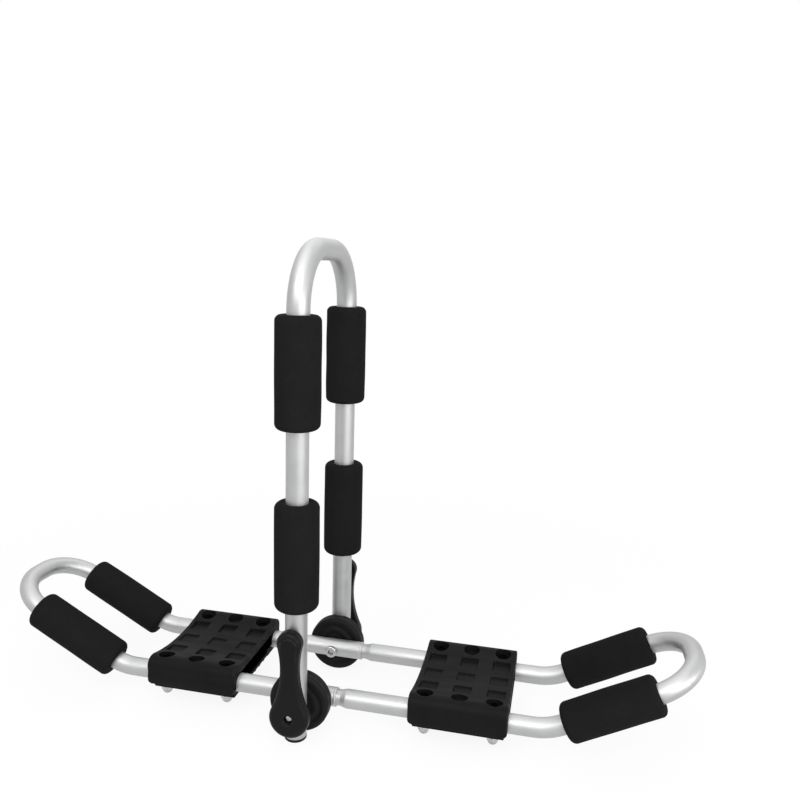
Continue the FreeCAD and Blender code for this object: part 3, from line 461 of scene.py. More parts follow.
def round_hole(border, centre, axes, height, rim, well):
    """A grid from a closed border of points down a round hole. A ring's points lie in the
    directions of the border's points from the centre. The rim's rings are a radius and how far
    they lie under the surface whose height is given, the well's are a radius and a level, and
    the last one closes on its middle."""
    first, second, third = (np.array(axis) for axis in axes)
    angle = np.arctan2(border @ second - centre[1], border @ first - centre[0])
    rows = [border]
    for number, (radius, level) in enumerate(rim + well):
        u = centre[0] + radius * np.cos(angle)
        v = centre[1] + radius * np.sin(angle)
        w = height(u, v) - level if number < len(rim) else np.full(len(u), level)
        rows.append(u[:, None] * first + v[:, None] * second + w[:, None] * third)
    return np.stack(rows)


def border_of(points, rows, columns):
    """The closed ring of points round a block of a grid, given its first and last row and column."""
    (top, bottom), (left, right) = rows, columns
    return np.r_[points[top, left:right], points[top:bottom, right],
                 points[bottom, right:left:-1], points[bottom:top:-1, left],
                 points[top:top + 1, left]]


bolt_hole_rim = [(counterbore + 1.6, 0), (counterbore + 0.7, 0), (counterbore + 0.3, 0.08),
                 (counterbore + 0.05, 0.32), (counterbore, 0.75)]
bolt_hole_well = [(counterbore - 0.15, bolt_seat + 0.8), (counterbore - 0.3, bolt_seat + 0.25),
                  (counterbore - 0.8, bolt_seat), (6.0, bolt_seat), (bolt_bore + 0.3, bolt_seat),
                  (bolt_bore, bolt_seat - 0.3), (bolt_bore - 0.1, bore_foot), (0, bore_foot)]


def saddle_skin(name, centre):
    """One saddle: a closed outline across it, carried along its length with its ends rounded,
    its top lowered by the pockets, six round holes let into its crests, and flat ends."""
    columns = [step * bolt_pitch for step in (-1, 0, 1)]
    edges_x = sorted(column + sign * pocket_half[0] for column in columns for sign in (-1, 1))
    x = lines_with(edges_x, -saddle_half + end_rounding, saddle_half - end_rounding, grid_step)
    x = np.unique(np.r_[x, [column + sign * hole_patch for column in columns for sign in (-1, 1)]])
    bend = np.linspace(0, np.pi / 2, 7)[1:]
    reach = saddle_half - end_rounding
    x = np.r_[-reach - end_rounding * np.sin(bend[::-1]), x, reach + end_rounding * np.sin(bend)]
    inward = quarter_round(end_rounding, np.abs(x) - reach)

    edges_y = sorted(band * pocket_pitch + sign * pocket_half[1] for band in (-1, 0, 1) for sign in (-1, 1))
    inner = lines_with(edges_y, -rail_side + hole_patch, rail_side - hole_patch, grid_step)
    crest = np.unique(np.r_[np.linspace(rail_side - hole_patch, rail_side + hole_patch, 17), crest_side])
    turn = np.linspace(math.asin((rail_side + hole_patch - saddle_side + shoulder) / shoulder), np.pi / 2, 11)
    across = np.r_[crest[1:], saddle_side - shoulder + shoulder * np.sin(turn[1:])]
    top_y = np.r_[-across[::-1], inner, across]
    top_z = saddle_top(top_y)
    low = saddle_bottom
    arch = np.linspace(0, np.pi, 33)
    skirt_z = np.r_[np.linspace(skirt_top, rail_level, 16), low + 1.3, low + 0.4, low]
    hollow = hollow_depth * np.sin(np.pi * np.clip((hollow_top - skirt_z) / hollow_height, 0, 1)) ** 2
    skirt_y = saddle_side - hollow - np.interp(skirt_z, [low, low + 0.4, low + 1.3], [1.3, 0.5, 0])
    under_y = np.r_[skirt_y, rail_side + rail_seat, rail_side + rail_seat * np.cos(arch),
                    rail_side - rail_seat, bar_side + 0.6, bar_side, bar_side, bar_side - 1.5]
    under_z = np.r_[skirt_z, low, rail_level + rail_seat * np.sin(arch),
                    bar_wall_foot, bar_wall_foot, bar_wall_foot + 0.6, bar_top - 1.5, bar_top]
    y = np.r_[top_y, under_y, -under_y[::-1], top_y[:1]]
    z = np.r_[top_z, under_z, under_z[::-1], top_z[:1]]

    grid_x = np.broadcast_to(x[:, None], (len(x), len(y)))
    grid_y = np.broadcast_to(y, grid_x.shape).copy()
    grid_z = np.broadcast_to(z, grid_x.shape).copy()
    top = np.arange(len(y)) < len(top_y)
    grid_z[:, top] -= pocket_depth(grid_x[:, top], grid_y[:, top])
    skin_y, skin_z = np.gradient(y), np.gradient(z)
    length = np.hypot(skin_y, skin_z) + 1e-9
    outside = np.arange(len(y)) < len(top_y) + len(skirt_y)
    outside[-1 - len(skirt_y):] = True
    grid_y += inward[:, None] * np.where(outside, skin_z / length, 0)
    grid_z += inward[:, None] * np.where(outside, -skin_y / length, 0)

    # The lower corners of the skirts are rounded where they meet the ends
    lift = quarter_round(skirt_corner, np.abs(grid_x) - saddle_half + skirt_corner)
    foot = np.clip((rail_level - grid_z) / (rail_level - saddle_bottom), 0, 1)
    grid_z += np.where(np.abs(grid_y) > rail_side + rail_seat - 0.2, lift * foot, 0)
    points = np.stack([grid_x + centre, grid_y, grid_z], -1)

    kept = np.ones((len(x) - 1, len(y) - 1), bool)
    grids = [(points, points, kept)]
    for column in columns:
        for sign in (-1, 1):
            rows = [int(np.argmin(np.abs(x - column - part * hole_patch))) for part in (-1, 1)]
            places = sorted(int(np.argmin(np.abs(top_y - sign * (rail_side + part * hole_patch))))
                            for part in (-1, 1))
            kept[rows[0]:rows[1], places[0]:places[1]] = False
            grids.append(round_hole(border_of(points, rows, places), (centre + column, sign * rail_side),
                                    upright, lambda u, v: saddle_top(v), bolt_hole_rim, bolt_hole_well))
    return skin(name, grids, caps=[points[0, :-1], points[-1, :-1]], crease=32)


def scattered(tree, vector, scale, **options):
    """The distance to the nearest of many scattered points, with their number to the metre."""
    return node(tree, "TexVoronoi", {"Vector": vector, "Scale": scale}, **options).outputs["Distance"]


# A spark-eroded mould leaves a fine even grain and a faint unevenness in black plastic
moulded_grain, given = effect("moulded grain", Vector=None, Size=1.0)
spot = given["Vector"]
cell_waves, fine_waves = (maths(moulded_grain, "DIVIDE", waves, given["Size"]) for waves in (1900.0, 1200.0))
fine = noise(moulded_grain, spot, fine_waves, 3, 0.6)
puts_out(moulded_grain,
         Tone=weighed(moulded_grain, noise(moulded_grain, spot, 26.0, 3, 0.5), 0.65, fine, 0.35),
         Sheen=noise(moulded_grain, stretched(moulded_grain, spot, (14.0, 55.0, 40.0)), 1.0, 2),
         Height=weighed(moulded_grain, scattered(moulded_grain, spot, cell_waves, feature="SMOOTH_F1"), 0.6,
                        fine, 0.8))


def with_painted_crease_shade(tree, colour, painted_shade, reach, low, high):
    """A colour going over to a dark one, as painted shade, where the surfaces within reach shut the light
    out.
    """
    light = node(tree, "AmbientOcclusion", {"Distance": reach}, samples=8).outputs["AO"]
    return blended(tree, between(tree, light, low, high), painted_shade, colour)


def black_moulding(name, base, bare, size, relief, roughness, wear, specular):
    """A black moulded plastic with its own colour, colour of bare edges, grain size and relief,
    range of roughness, and share of wear, with painted shade darkening its creases."""
    made, tree, shader = bare_material(name, Specular_IOR_Level=specular)
    spot = node(tree, "TexCoord").outputs["Object"]
    grain = placed(tree, moulded_grain, Vector=spot, Size=size)
    worn = wear_of(tree, spot)
    deep, painted_shade = (tuple(part * share for part in base) for share in (0.72, 0.25))
    colour = blended(tree, between(tree, grain["Tone"], 0.32, 0.68), deep, base)
    colour = blended(tree, times(tree, worn, wear), colour, bare)
    # Painted shade: where nearby surfaces shut the light out, the colour goes over to a quarter of the base
    # colour
    colour = with_painted_crease_shade(tree, colour, painted_shade, 0.0022, 0.42, 0.78)
    rough = between(tree, grain["Sheen"], 0.3, 0.7, *roughness)
    rough = maths(tree, "SUBTRACT", rough, times(tree, worn, 0.12))
    finish_surface(tree, shader, colour, rough, grain["Height"], relief)
    return made


saddle_plastic = black_moulding("saddle_plastic", black_plastic, rubbed_plastic, size=1.0, relief=0.00009,
                                roughness=(0.48, 0.62), wear=0.8, specular=0.06)
for side, centre in saddle_places:
    piece = saddle_skin(f"{side}_rail_saddle", centre)
    piece.data.materials.append(saddle_plastic)
    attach(piece, "frame")
    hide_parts(f"{side}_saddle")

# ---- Bar strips
# A pad of ribbed black rubber glued in the channel under each saddle, where it sits on the
# roof bar. Its ribs run across the rack, so that it grips the bar.
strip_half = (53, 39.7)
strip_levels = (47.5, 49.5)
rib_pitch = 4.0


def strip_skin(name, centre):
    """A flat pad whose lower face rises and falls as rounded ribs along its length, between
    plain margins, with its upper face and its edges flat."""
    x = np.linspace(-strip_half[0], strip_half[0], 319)
    y = np.array([-strip_half[1], -strip_half[1] + 0.3, -strip_half[1] + 2, 0,
                  strip_half[1] - 2, strip_half[1] - 0.3, strip_half[1]])
    rib = np.clip(1.4 * np.cos(2 * np.pi * x / rib_pitch), -1, 1) * (np.abs(x) < strip_half[0] - 1.2)
    inner = np.clip((strip_half[1] - np.abs(y) - 0.3) / 1.7, 0, 1)
    low = strip_levels[0] + 0.45 * (1 - rib[:, None]) * inner + 0.25 * (1 - np.clip(inner * 20, 0, 1))
    bottom = np.stack(np.broadcast_arrays(x[:, None] + centre, y, low), -1)
    top = bottom.copy()
    top[..., 2] = strip_levels[1]
    walls = [np.stack([top[:, edge], bottom[:, edge]]) for edge in (0, -1)]
    ends = [np.stack([top[edge], bottom[edge]]) for edge in (0, -1)]
    return skin(name, [bottom, top] + walls + ends)


rubber, tree, shader = bare_material("strip_rubber", Specular_IOR_Level=0.2)
spot = node(tree, "TexCoord").outputs["Object"]
pores = noise(tree, spot, 900.0, 3, 0.65)
bloom = between(tree, noise(tree, spot, 60.0, 3, 0.6), 0.45, 0.75)
colour = blended(tree, bloom, (0.010, 0.010, 0.010), (0.024, 0.024, 0.023))
finish_surface(tree, shader, colour, between(tree, pores, 0.3, 0.7, 0.72, 0.9), pores, 0.0001)
for side, centre in saddle_places:
    piece = strip_skin(f"{side}_grip_strip", centre)
    piece.data.materials.append(rubber)
    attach(piece, "frame")
    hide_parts(f"{side}_bar_strip")

# ---- Clamp plates
# Moulded black plates that close the saddles from below: a cradle under each rail, a channel
# for the roof bar between them, and stiffening ribs along the channel's floor.
clamp_half = 53
clamp_side = 66
clamp_bottom = 19.5
clamp_floor = 25.5
clamp_top = 34.5
clamp_edge = 3
stiffener_pitch = 14
stiffener_depth = 1.3


def clamp_skin(name, centre):
    """A closed outline across the plate, carried along its length with slightly rounded ends:
    flat below with round edges, a trough for the bar, and an arc of the rail's seat at each side."""
    edge = np.linspace(0, np.pi / 2, 7)[::-1]
    below_y = np.r_[clamp_side - clamp_edge + clamp_edge * np.sin(edge), rail_side, 50, 44]
    below_z = np.r_[clamp_bottom + clamp_edge - clamp_edge * np.cos(edge), [clamp_bottom] * 3]
    ribs = np.linspace(42, -42, 113)
    from_rib = np.abs((ribs + stiffener_pitch / 2) % stiffener_pitch - stiffener_pitch / 2)
    rib_wave = stiffener_depth * np.clip((from_rib - 1.2) / 1.1, 0, 1) * (np.abs(ribs) < 41)
    reach = math.asin((rail_level - clamp_top) / rail_seat)
    cradle = np.linspace(np.pi + reach, 2 * np.pi - math.acos((clamp_side - rail_side) / rail_seat), 25)
    seat_y = rail_side + rail_seat * np.cos(cradle)
    seat_z = rail_level + rail_seat * np.sin(cradle)
    trough_y = np.array([-bar_side, -bar_side, -bar_side + 1.2, 0, bar_side - 1.2, bar_side, bar_side])
    trough_z = np.interp(np.abs(trough_y), [bar_side - 1.2, bar_side], [clamp_floor, clamp_floor + 1.2])
    trough_z[[0, -1]] = clamp_top
    y = np.r_[below_y, ribs, -below_y[::-1], -seat_y[::-1], trough_y, seat_y, below_y[:1]]
    z = np.r_[below_z, clamp_bottom + rib_wave, below_z[::-1], seat_z[::-1], trough_z, seat_z, below_z[:1]]
    ends = np.array([0, 0.1, 0.4, 1.0])
    x = np.r_[-clamp_half + ends, np.linspace(-clamp_half + 5, clamp_half - 5, 9), (clamp_half - ends)[::-1]]
    inward = quarter_round(1, np.abs(x) - clamp_half + 1)[:, None]
    points = np.stack(np.broadcast_arrays(
        x[:, None] + centre, y * (1 - inward / clamp_side),
        z + inward * np.clip((clamp_bottom + 4 - z) / 4, -1, 1)), -1)
    return skin(name, [points], caps=[points[0, :-1], points[-1, :-1]], crease=32)


clamp_plastic = black_moulding("clamp_plastic", (0.007, 0.007, 0.0072), rubbed_plastic, size=1.2,
                               relief=0.00011, roughness=(0.55, 0.70), wear=0.6, specular=0.05)
for side, centre in saddle_places:
    piece = clamp_skin(f"{side}_bar_clamp", centre)
    piece.data.materials.append(clamp_plastic)
    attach(piece, "frame")
    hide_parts(f"{side}_clamp_plate")

# ---- Saddle bolts, washers and cap nuts
# Zinc-plated steel: a button-head bolt with a hexagon socket goes down through saddle, rail
# and clamp plate, over a flat washer, into a domed nut below.
bolt_radius = 3.0
bolt_head = 5.5
head_foot = 54.2
head_top = 57.8
socket_half = 2.0
socket_floor = 55.8
bolt_end = 14.0
washer_radius = 6.5
washer_bore = 3.3
nut_half = 6.4
nut_thread = 3.1
nut_top = 19.5
nut_shoulder = 14.4
nut_tip = 9.0
nut_floor = 13.8
plated_bright = (0.50, 0.50, 0.49)
plated_dull = (0.34, 0.34, 0.335)


def turned(centre, axes, reach, along, angle):
    """Points round an axis: each reaches out by its angle between the first two axes, and
    stands at its place along the third."""
    first, second, third = (np.array(axis, float) for axis in axes)
    return (np.array(centre, float) + (reach * np.cos(angle))[..., None] * first
            + (reach * np.sin(angle))[..., None] * second + (along + 0 * angle)[..., None] * third)


def turned_shape(centre, axes, profile, around=48):
    """A grid turned about an axis. The profile's rows are a radius, a place along the axis, and
    a share that goes from a circle to a hexagon with the radius as its half width across flats."""
    radius, along, sixth = (np.array(column, float)[:, None] for column in zip(*profile))
    angle = np.linspace(0, 2 * np.pi, around + 1)[None]
    to_corner = 1 / np.cos((angle + np.pi / 6) % (np.pi / 3) - np.pi / 6)
    return turned(centre, axes, radius * (1 + sixth * (to_corner - 1)), along, angle)


dome = np.linspace(0, np.pi / 2, 9)
bolt_profile = (
    [(0, socket_floor - 0.6, 0), (1.2, socket_floor, 1), (socket_half, socket_floor, 1),
     (socket_half, head_top - 0.25, 1), (socket_half + 0.15, head_top - 0.05, 0.9), (2.5, head_top, 0.2)]
    + [(2.9 + 2.6 * math.sin(a), head_top - 2.4 + 2.4 * math.cos(a), 0) for a in dome[1:]]
    + [(bolt_head, head_foot + 0.3, 0), (bolt_head - 0.15, head_foot + 0.05, 0),
       (bolt_head - 0.4, head_foot, 0), (bolt_radius, head_foot, 0),
       (bolt_radius, bolt_end + 0.6, 0), (bolt_radius - 0.6, bolt_end, 0), (0, bolt_end, 0)])
washer_profile = [
    (washer_bore, bolt_seat, 0), (washer_radius - 0.2, bolt_seat, 0), (washer_radius, bolt_seat + 0.2, 0),
    (washer_radius, head_foot - 0.2, 0), (washer_radius - 0.2, head_foot, 0),
    (washer_bore + 0.2, head_foot, 0), (washer_bore, head_foot - 0.2, 0), (washer_bore, bolt_seat, 0)]
nut_profile = (
    [(nut_thread, nut_top, 0), (nut_half - 0.3, nut_top, 0), (nut_half, nut_top - 0.25, 1),
     (nut_half, nut_shoulder + 0.4, 1), (nut_half - 0.05, nut_shoulder + 0.15, 0.3),
     (nut_half - 0.3, nut_shoulder, 0)]
    + [(0.6 + 5.4 * math.cos(a), nut_shoulder - 0.2 - 5.2 * math.sin(a), 0) for a in dome]
    + [(0, nut_tip, 0)])
nut_inside = [(0, nut_floor, 0), (nut_thread, nut_floor, 0), (nut_thread, nut_top, 0)]

# Plating shows fine turning lines, a crystal grain and a faint cloud
plating, given = effect("plating", Vector=None)
spot = given["Vector"]
haze = noise(plating, spot, 240.0, 4, 0.6)
marks = noise(plating, stretched(plating, spot, (1, 1, 12)), 700.0, 2)
puts_out(plating, Tone=weighed(plating, haze, 0.5, marks, 0.5), Cloud=haze,
         Height=maths(plating, "ADD", scattered(plating, spot, 2600.0), marks))


def plated_steel(name, dull, bright, bare, wear, patch, roughness, relief, crease_shade=None, **constants):
    """A plated steel that goes from dull to bright with the plating, with its colour of bare
    edges, share and patches of wear, range of roughness, relief, and colour of painted shade in creases."""
    made, tree, shader = bare_material(name, **constants)
    spot = node(tree, "TexCoord").outputs["Object"]
    plate = placed(tree, plating, Vector=spot)
    colour = blended(tree, between(tree, plate["Tone"], 0.38, 0.62), dull, bright)
    colour = blended(tree, times(tree, wear_of(tree, spot, patch), wear), colour, bare)
    # Painted shade: where nearby surfaces shut the light out, the colour goes over to the given dark one
    if crease_shade:
        colour = with_painted_crease_shade(tree, colour, crease_shade, 0.004, 0.30, 0.75)
    finish_surface(tree, shader, colour, between(tree, plate["Cloud"], 0.3, 0.7, *roughness),
                   plate["Height"], relief)
    return made


# Its creases take a painted shade of near black
plated = plated_steel("bright_plated_steel", plated_dull, plated_bright, (0.72, 0.72, 0.71), wear=0.5,
                      patch=500.0, roughness=(0.24, 0.38), relief=0.00002,
                      crease_shade=(0.03, 0.03, 0.029), Metallic=1.0)
# The bolts and washers are plated steel, but deep in the counterbores they are given a near-black colour and
# no gloss as painted shade
steel_in_painted_shade = plated_steel("painted_shade_steel", (0.0012, 0.0012, 0.0013), (0.0026, 0.0026, 0.0027),
                         (0.006, 0.006, 0.006), wear=0.3, patch=420.0, roughness=(0.48, 0.62),
                         relief=0.00003, Metallic=0.0, Specular_IOR_Level=0.0)
for side, centre in saddle_places:
    seats = [(centre + along * bolt_pitch, across * rail_side, 0) for along in (-1, 1) for across in (-1, 1)]
    for name, cad_node, profiles, steel in (
            ("button_bolts", "saddle_bolts", [bolt_profile], steel_in_painted_shade),
            ("flat_washers", "saddle_washers", [washer_profile], steel_in_painted_shade),
            ("domed_nuts", "cap_nuts", [nut_profile, nut_inside], plated)):
        piece = skin(f"{side}_{name}", [turned_shape(seat, upright, profile)
                                        for seat in seats for profile in profiles], crease=30)
        piece.data.materials.append(steel)
        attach(piece, "frame")
        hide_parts(f"{side}_{cad_node}")

# ---- Foam sleeves
# Thick tubes of black closed-cell foam, pushed over the arms and the mast's legs so that a
# hull rests on something soft. Their ends are rounded, and they grip the tube.
mast_foam = (25.5, 12.85)
arm_foam = (23.0, 11.25)
foam_edge = 7
swell_height = 0.085
arm_foam_ends = {"left": (9, 131), "right": (21, 131)}
mast_x = -22
leg_side = 90
front_and_rear = (("front", -1), ("rear", 1))
mast_foam_levels = {"upper": (366, 490), "lower": (160.5, 284.5)}
foam_black = (0.0074, 0.0074, 0.0076)
foam_pale = (0.0112, 0.0112, 0.0114)


def foam_skin(name, start, heading, up, length, size, seed):
    """A sleeve of a size, its radius and its bore's, turned about its tube: a straight side
    that swells and pinches by a few tenths of a millimetre along and round it, round
    shoulders, ends that dish towards the tube, and a bore that fits it."""
    foam_radius, foam_bore = size
    turn = np.linspace(0, np.pi / 2, 15)
    end_radius = np.r_[foam_bore + np.array([0, 0, 0.35, 1.0, 2.2]),
                       foam_radius - foam_edge + foam_edge * np.sin(turn)]
    end_along = np.r_[3.0, 1.6, 0.9, 0.65, 0.35, foam_edge - foam_edge * np.cos(turn)]
    side = np.linspace(foam_edge, length - foam_edge, 41)[1:-1]
    radius = np.r_[end_radius, np.full(len(side), foam_radius), end_radius[::-1], foam_bore][:, None]
    along = np.r_[end_along, side, length - end_along[::-1], end_along[0]][:, None]
    angle = np.linspace(0, 2 * np.pi, 73)[None]
    # The swell is a few slow waves that close on themselves round the sleeve
    random = np.random.default_rng(seed)
    swell = np.zeros((len(radius), angle.shape[1]))
    for turns in (0, 1, 2, 3):
        waves, shift, lean = random.uniform(0.6, 2.4), random.uniform(0, 6.28), random.uniform(0, 6.28)
        swell += np.sin(turns * angle + lean) * np.sin(waves * 2 * np.pi * along / length + shift)
    outer = np.clip((radius - foam_bore - 1) / 6, 0, 1)
    reach = radius + outer * (swell_height * swell - 0.12 - 0.25 * (2 * along / length - 1) ** 2)
    ahead, above = np.array(heading, float), np.array(up, float)
    points = turned(start, (above, np.cross(ahead, above), ahead), reach, along, angle)
    place = turned((0, 0, 0), ((0, 1, 0), (0, 0, 1), (1, 0, 0)), reach, along, angle)
    return skin(name, [(points, place, ...)], crease=50)


# Closed cells show as fine pits of two sizes, and the skin is faintly mottled
closed_cells, given = effect("closed cells", Place=None)
place = given["Place"]
pits = between(closed_cells, scattered(closed_cells, place, 520.0), 0.05, 0.38)
cells = weighed(closed_cells, scattered(closed_cells, place, 1500.0), 0.5, pits, 0.45)
puts_out(closed_cells, Pits=pits, Mottle=noise(closed_cells, place, 34.0, 4, 0.6),
         Height=maths(closed_cells, "ADD", cells, noise(closed_cells, place, 1100.0, 3, 0.7)))

foam, tree, shader = bare_material("closed_cell_foam", Specular_IOR_Level=0.035)
place = attribute(tree, "place", "Vector")
cells = placed(tree, closed_cells, Place=place)
tone = times(tree, between(tree, cells["Mottle"], 0.2, 0.8, 0.35, 1.0), cells["Pits"])
colour = blended(tree, tone, foam_black, foam_pale)
colour = blended(tree, times(tree, wear_of(tree, place), 0.4), colour, (0.016, 0.016, 0.016))
finish_surface(tree, shader, colour, between(tree, cells["Mottle"], 0.3, 0.7, 0.82, 0.94),
               cells["Height"], 0.00028)

lean = (math.cos(arm_rise), math.sin(arm_rise))
sleeves = []
for side, hand in (("left", -1), ("right", 1)):
    begin, stop = arm_foam_ends[side]
    for end, sign in front_and_rear:
        start = (hand * (arm_apex + begin * lean[0]), sign * rail_side, rail_level + begin * lean[1])
        sleeves.append((f"{side}_{end}_arm_foam", "frame", start, (hand * lean[0], 0, lean[1]),
                        (-hand * lean[1], 0, lean[0]), stop - begin, arm_foam))
for level, (begin, stop) in mast_foam_levels.items():
    for end, sign in front_and_rear:
        sleeves.append((f"{level}_{end}_mast_foam", "mast", (mast_x, sign * leg_side, begin), (0, 0, 1),
                        (0, sign, 0), stop - begin, mast_foam))
for number, (cad_node, body, start, heading, up, length, size) in enumerate(sleeves):
    piece = foam_skin(cad_node.replace("_foam", "_sleeve"), start, heading, up, length, size, number + 5)
    piece.data.materials.append(foam)
    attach(piece, body)
    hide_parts(cad_node)

# ---- Knuckles
# Each knuckle is two moulded black discs on the pivot bolt. One is seated on the rail and
# one on the mast's leg, each with a half-round channel, ring grooves and a crowned rim.
disc_radius = 36.0
rail_half = (64.0, 73.35)
mast_half = (73.65, 83.0)
pivot_x = -22.0
channel_offset = 7.0
leg_seat = 13.0
crown = 4.6
groove_middle = 25.2
groove_half = 4.8
groove_depth = 1.7
dish_edge = 18.8
dish_depth = 1.5
lobe_run = 1.1


def knuckle_face(u, v):
    """How deep the face that looks at the tube lies at a place on it: a crowned rim, a wide
    groove, a raised ring inside it and a dish round the middle. The groove and the dish go
    in and out a little three times round the disc."""
    radius = np.hypot(u, v)
    lobe = np.cos(3 * np.arctan2(v, u) + 0.6)
    rim = quarter_round(crown, radius - disc_radius + crown)
    off_groove = np.clip((radius - groove_middle - lobe_run * lobe) / groove_half, -1, 1)
    groove = (groove_depth + 0.35 * lobe) * np.cos(off_groove * np.pi / 2) ** 2
    dish = eased(np.clip((dish_edge + lobe_run * lobe - radius) / 4.0, 0, 1))
    return rim + groove + dish_depth * dish + 0.25


def disc_net(radius, level, columns):
    """Places on a disc, on a net like a globe's seen from the side: rows run level at the sine
    of their angle, and columns close up to the outer circle."""
    sweep = np.linspace(-np.pi / 2, np.pi / 2, columns)
    u = radius * np.cos(level)[:, None] * np.sin(sweep)
    return u, np.broadcast_to(radius * np.sin(level)[:, None], u.shape)


def outline(net):
    """What lies round a net: its last column, and its first one back again."""
    return np.r_[net[:, -1], net[::-1, 0][1:]]


def knuckle_skin(name, sign, span, seat_radius, tube_along, tube_above, tube_first):
    """A disc whose face is sunk by its rings, or by the tube's channel where that is deeper.
    A wall goes round it, and the mating face is flat."""
    seat = math.asin(math.sqrt(seat_radius ** 2 - channel_offset ** 2) / disc_radius)
    level = np.unique(np.round(np.r_[np.linspace(-np.pi / 2, np.pi / 2, 89),
                                     -seat, seat, -seat - 0.012, seat + 0.012], 5))
    u, v = disc_net(disc_radius, level, 89)
    channel = np.sqrt(np.clip(seat_radius ** 2 - v ** 2, 0, None)) - channel_offset
    sunk = np.maximum(knuckle_face(u, v), channel)
    inner, towards = (span[0], 1) if tube_first else (span[1], -1)
    along, above = np.array(tube_along, float), np.array(tube_above, float)
    outwards = np.array([0, sign, 0], float)

    def at(u, v, depth):
        """The point at a place on the disc and a depth under the face that looks at the tube."""
        return (np.array([pivot_x, 0, rail_level]) + u[..., None] * along + v[..., None] * above
                + (inner + towards * depth)[..., None] * outwards)

    thickness = span[1] - span[0]
    rim_u, rim_v, rim_depth = (outline(net) for net in (u, v, sunk))
    shares = np.array([[0], [0.15], [0.5], [1]])
    wall_depth = rim_depth + (thickness - 0.6 - rim_depth) * shares
    less = 1 - np.array([[0], [0.15], [0.6]]) / disc_radius
    back_depth = thickness - np.array([[0.6], [0.2], [0]])
    wall = at(*np.broadcast_arrays(rim_u, rim_v, wall_depth))
    back = at(*np.broadcast_arrays(rim_u * less, rim_v * less, back_depth))
    return skin(name, [at(u, v, sunk), wall, back], caps=[back[-1, :-1]], crease=34)


knuckle_plastic = black_moulding("knuckle_plastic", (0.0080, 0.0080, 0.0082), (0.022, 0.022, 0.0224),
                                 size=0.9, relief=0.00008, roughness=(0.44, 0.58), wear=0.85, specular=0.09)
for end, sign in front_and_rear:
    for name, body, span, seat, along, above, tube_first in (
            ("rail", "frame", rail_half, rail_seat, (1, 0, 0), (0, 0, 1), True),
            ("mast", "mast", mast_half, leg_seat, (0, 0, 1), (1, 0, 0), False)):
        piece = knuckle_skin(f"{end}_knuckle_{name}_half", sign, span, seat, along, above, tube_first)
        piece.data.materials.append(knuckle_plastic)
        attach(piece, body)
        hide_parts(f"{end}_{name}_knuckle")

# ---- Mast tube and end plugs
# One more drawn and anodised tube, bent into a tall loop that stands over the rails on the
# two pivots. A black plug with a rim a little wider than the tube closes each foot.
mast_foot = 3.5
mast_top = 559.5
mast_corner = 67
mast_radius = 12.7
mast_bore = 11.1
plug_rim = 12.95
plug_edge = 1.5
plug_end = 17.5

bend = (mast_corner * math.pi / 2, mast_corner, (-1, 0, 0))
leg = (mast_top - mast_corner - mast_foot, 0, None)
legs = [leg, bend, (2 * (leg_side - mast_corner), 0, None), bend, leg]
whole = sum(each[0] for each in legs)
distance = stations(legs, [0.3, whole - 0.3])
outside = np.interp(np.minimum(distance, whole - distance), [0, 0.3], [mast_radius - 0.2, mast_radius])
piece = skin("mast_loop", [walled_pipe(
    lambda s: follow((mast_x, -leg_side, mast_foot), (0, 0, 1), (0, 1, 0), legs, s),
    distance, outside, np.full(len(distance), mast_bore))])
piece.data.materials.append(anodised)
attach(piece, "mast")
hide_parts("mast_tube")

plug_profile = (
    [(0, 0.5, 0), (4.0, 0.5, 0), (4.6, 0.1, 0), (5.2, 0, 0)]
    + [(plug_rim - plug_edge + plug_edge * math.sin(a), plug_edge - plug_edge * math.cos(a), 0) for a in dome]
    + [(plug_rim, mast_foot - 0.3, 0), (plug_rim - 0.2, mast_foot - 0.05, 0), (plug_rim - 0.5, mast_foot, 0),
       (mast_bore - 0.2, mast_foot, 0), (mast_bore - 0.2, plug_end - 1, 0), (mast_bore - 1.2, plug_end, 0),
       (0, plug_end, 0)])
plug_plastic = black_moulding("plug_plastic", (0.0080, 0.0080, 0.0082), rubbed_plastic, size=0.8,
                              relief=0.00006, roughness=(0.45, 0.58), wear=0.8, specular=0.09)
for end, sign in front_and_rear:
    piece = skin(f"{end}_foot_plug", [turned_shape((mast_x, sign * leg_side, 0), upright, plug_profile, 64)])
    piece.data.materials.append(plug_plastic)
    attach(piece, "mast")
    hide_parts(f"{end}_end_plug")

# ---- Pivot bolts and leg spacers
# A plated bolt with a round head and a hexagon socket goes out through rail, knuckle and
# leg. A black plastic spacer with a hollow back gives the lever a flat face on the leg.
pivot_radius = 4.0
pivot_head = 7.4
pivot_head_edge = 1.6
pivot_head_depth = 4.5
pivot_socket = 3.4
pivot_face = 41.1
pivot_length = 72.3
thread_length = 22.5
thread_depth = 0.25
spacer_radius = 13.0
spacer_edge = 0.8
spacer_span = (98.7, 104.9)

pivot_profile = (
    [(0, 3.4, 0), (2.4, 3.0, 1), (pivot_socket, 3.0, 1), (pivot_socket, 0.35, 1),
     (pivot_socket + 0.2, 0.1, 0.9), (4.1, 0, 0.2), (4.8, 0, 0)]
    + [(pivot_head - pivot_head_edge + pivot_head_edge * math.sin(a),
        pivot_head_edge - pivot_head_edge * math.cos(a), 0) for a in dome]
    + [(pivot_head, pivot_head_depth - 0.3, 0), (pivot_head - 0.3, pivot_head_depth, 0),
       (pivot_radius, pivot_head_depth, 0)]
    + [(pivot_radius - thread_depth * (row % 2), pivot_length - thread_length + 0.5 * row, 0)
       for row in range(44)]
    + [(pivot_radius, pivot_length - 0.7, 0), (pivot_radius - 0.7, pivot_length, 0), (0, pivot_length, 0)])
for end, sign in front_and_rear:
    axes = ((-sign, 0, 0), (0, 0, 1), (0, sign, 0))
    piece = skin(f"{end}_pivot_screw", [turned_shape((pivot_x, sign * pivot_face, rail_level), axes,
                                                     pivot_profile)], crease=30)
    piece.data.materials.append(plated)
    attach(piece, "mast")
    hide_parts(f"{end}_pivot_bolt")


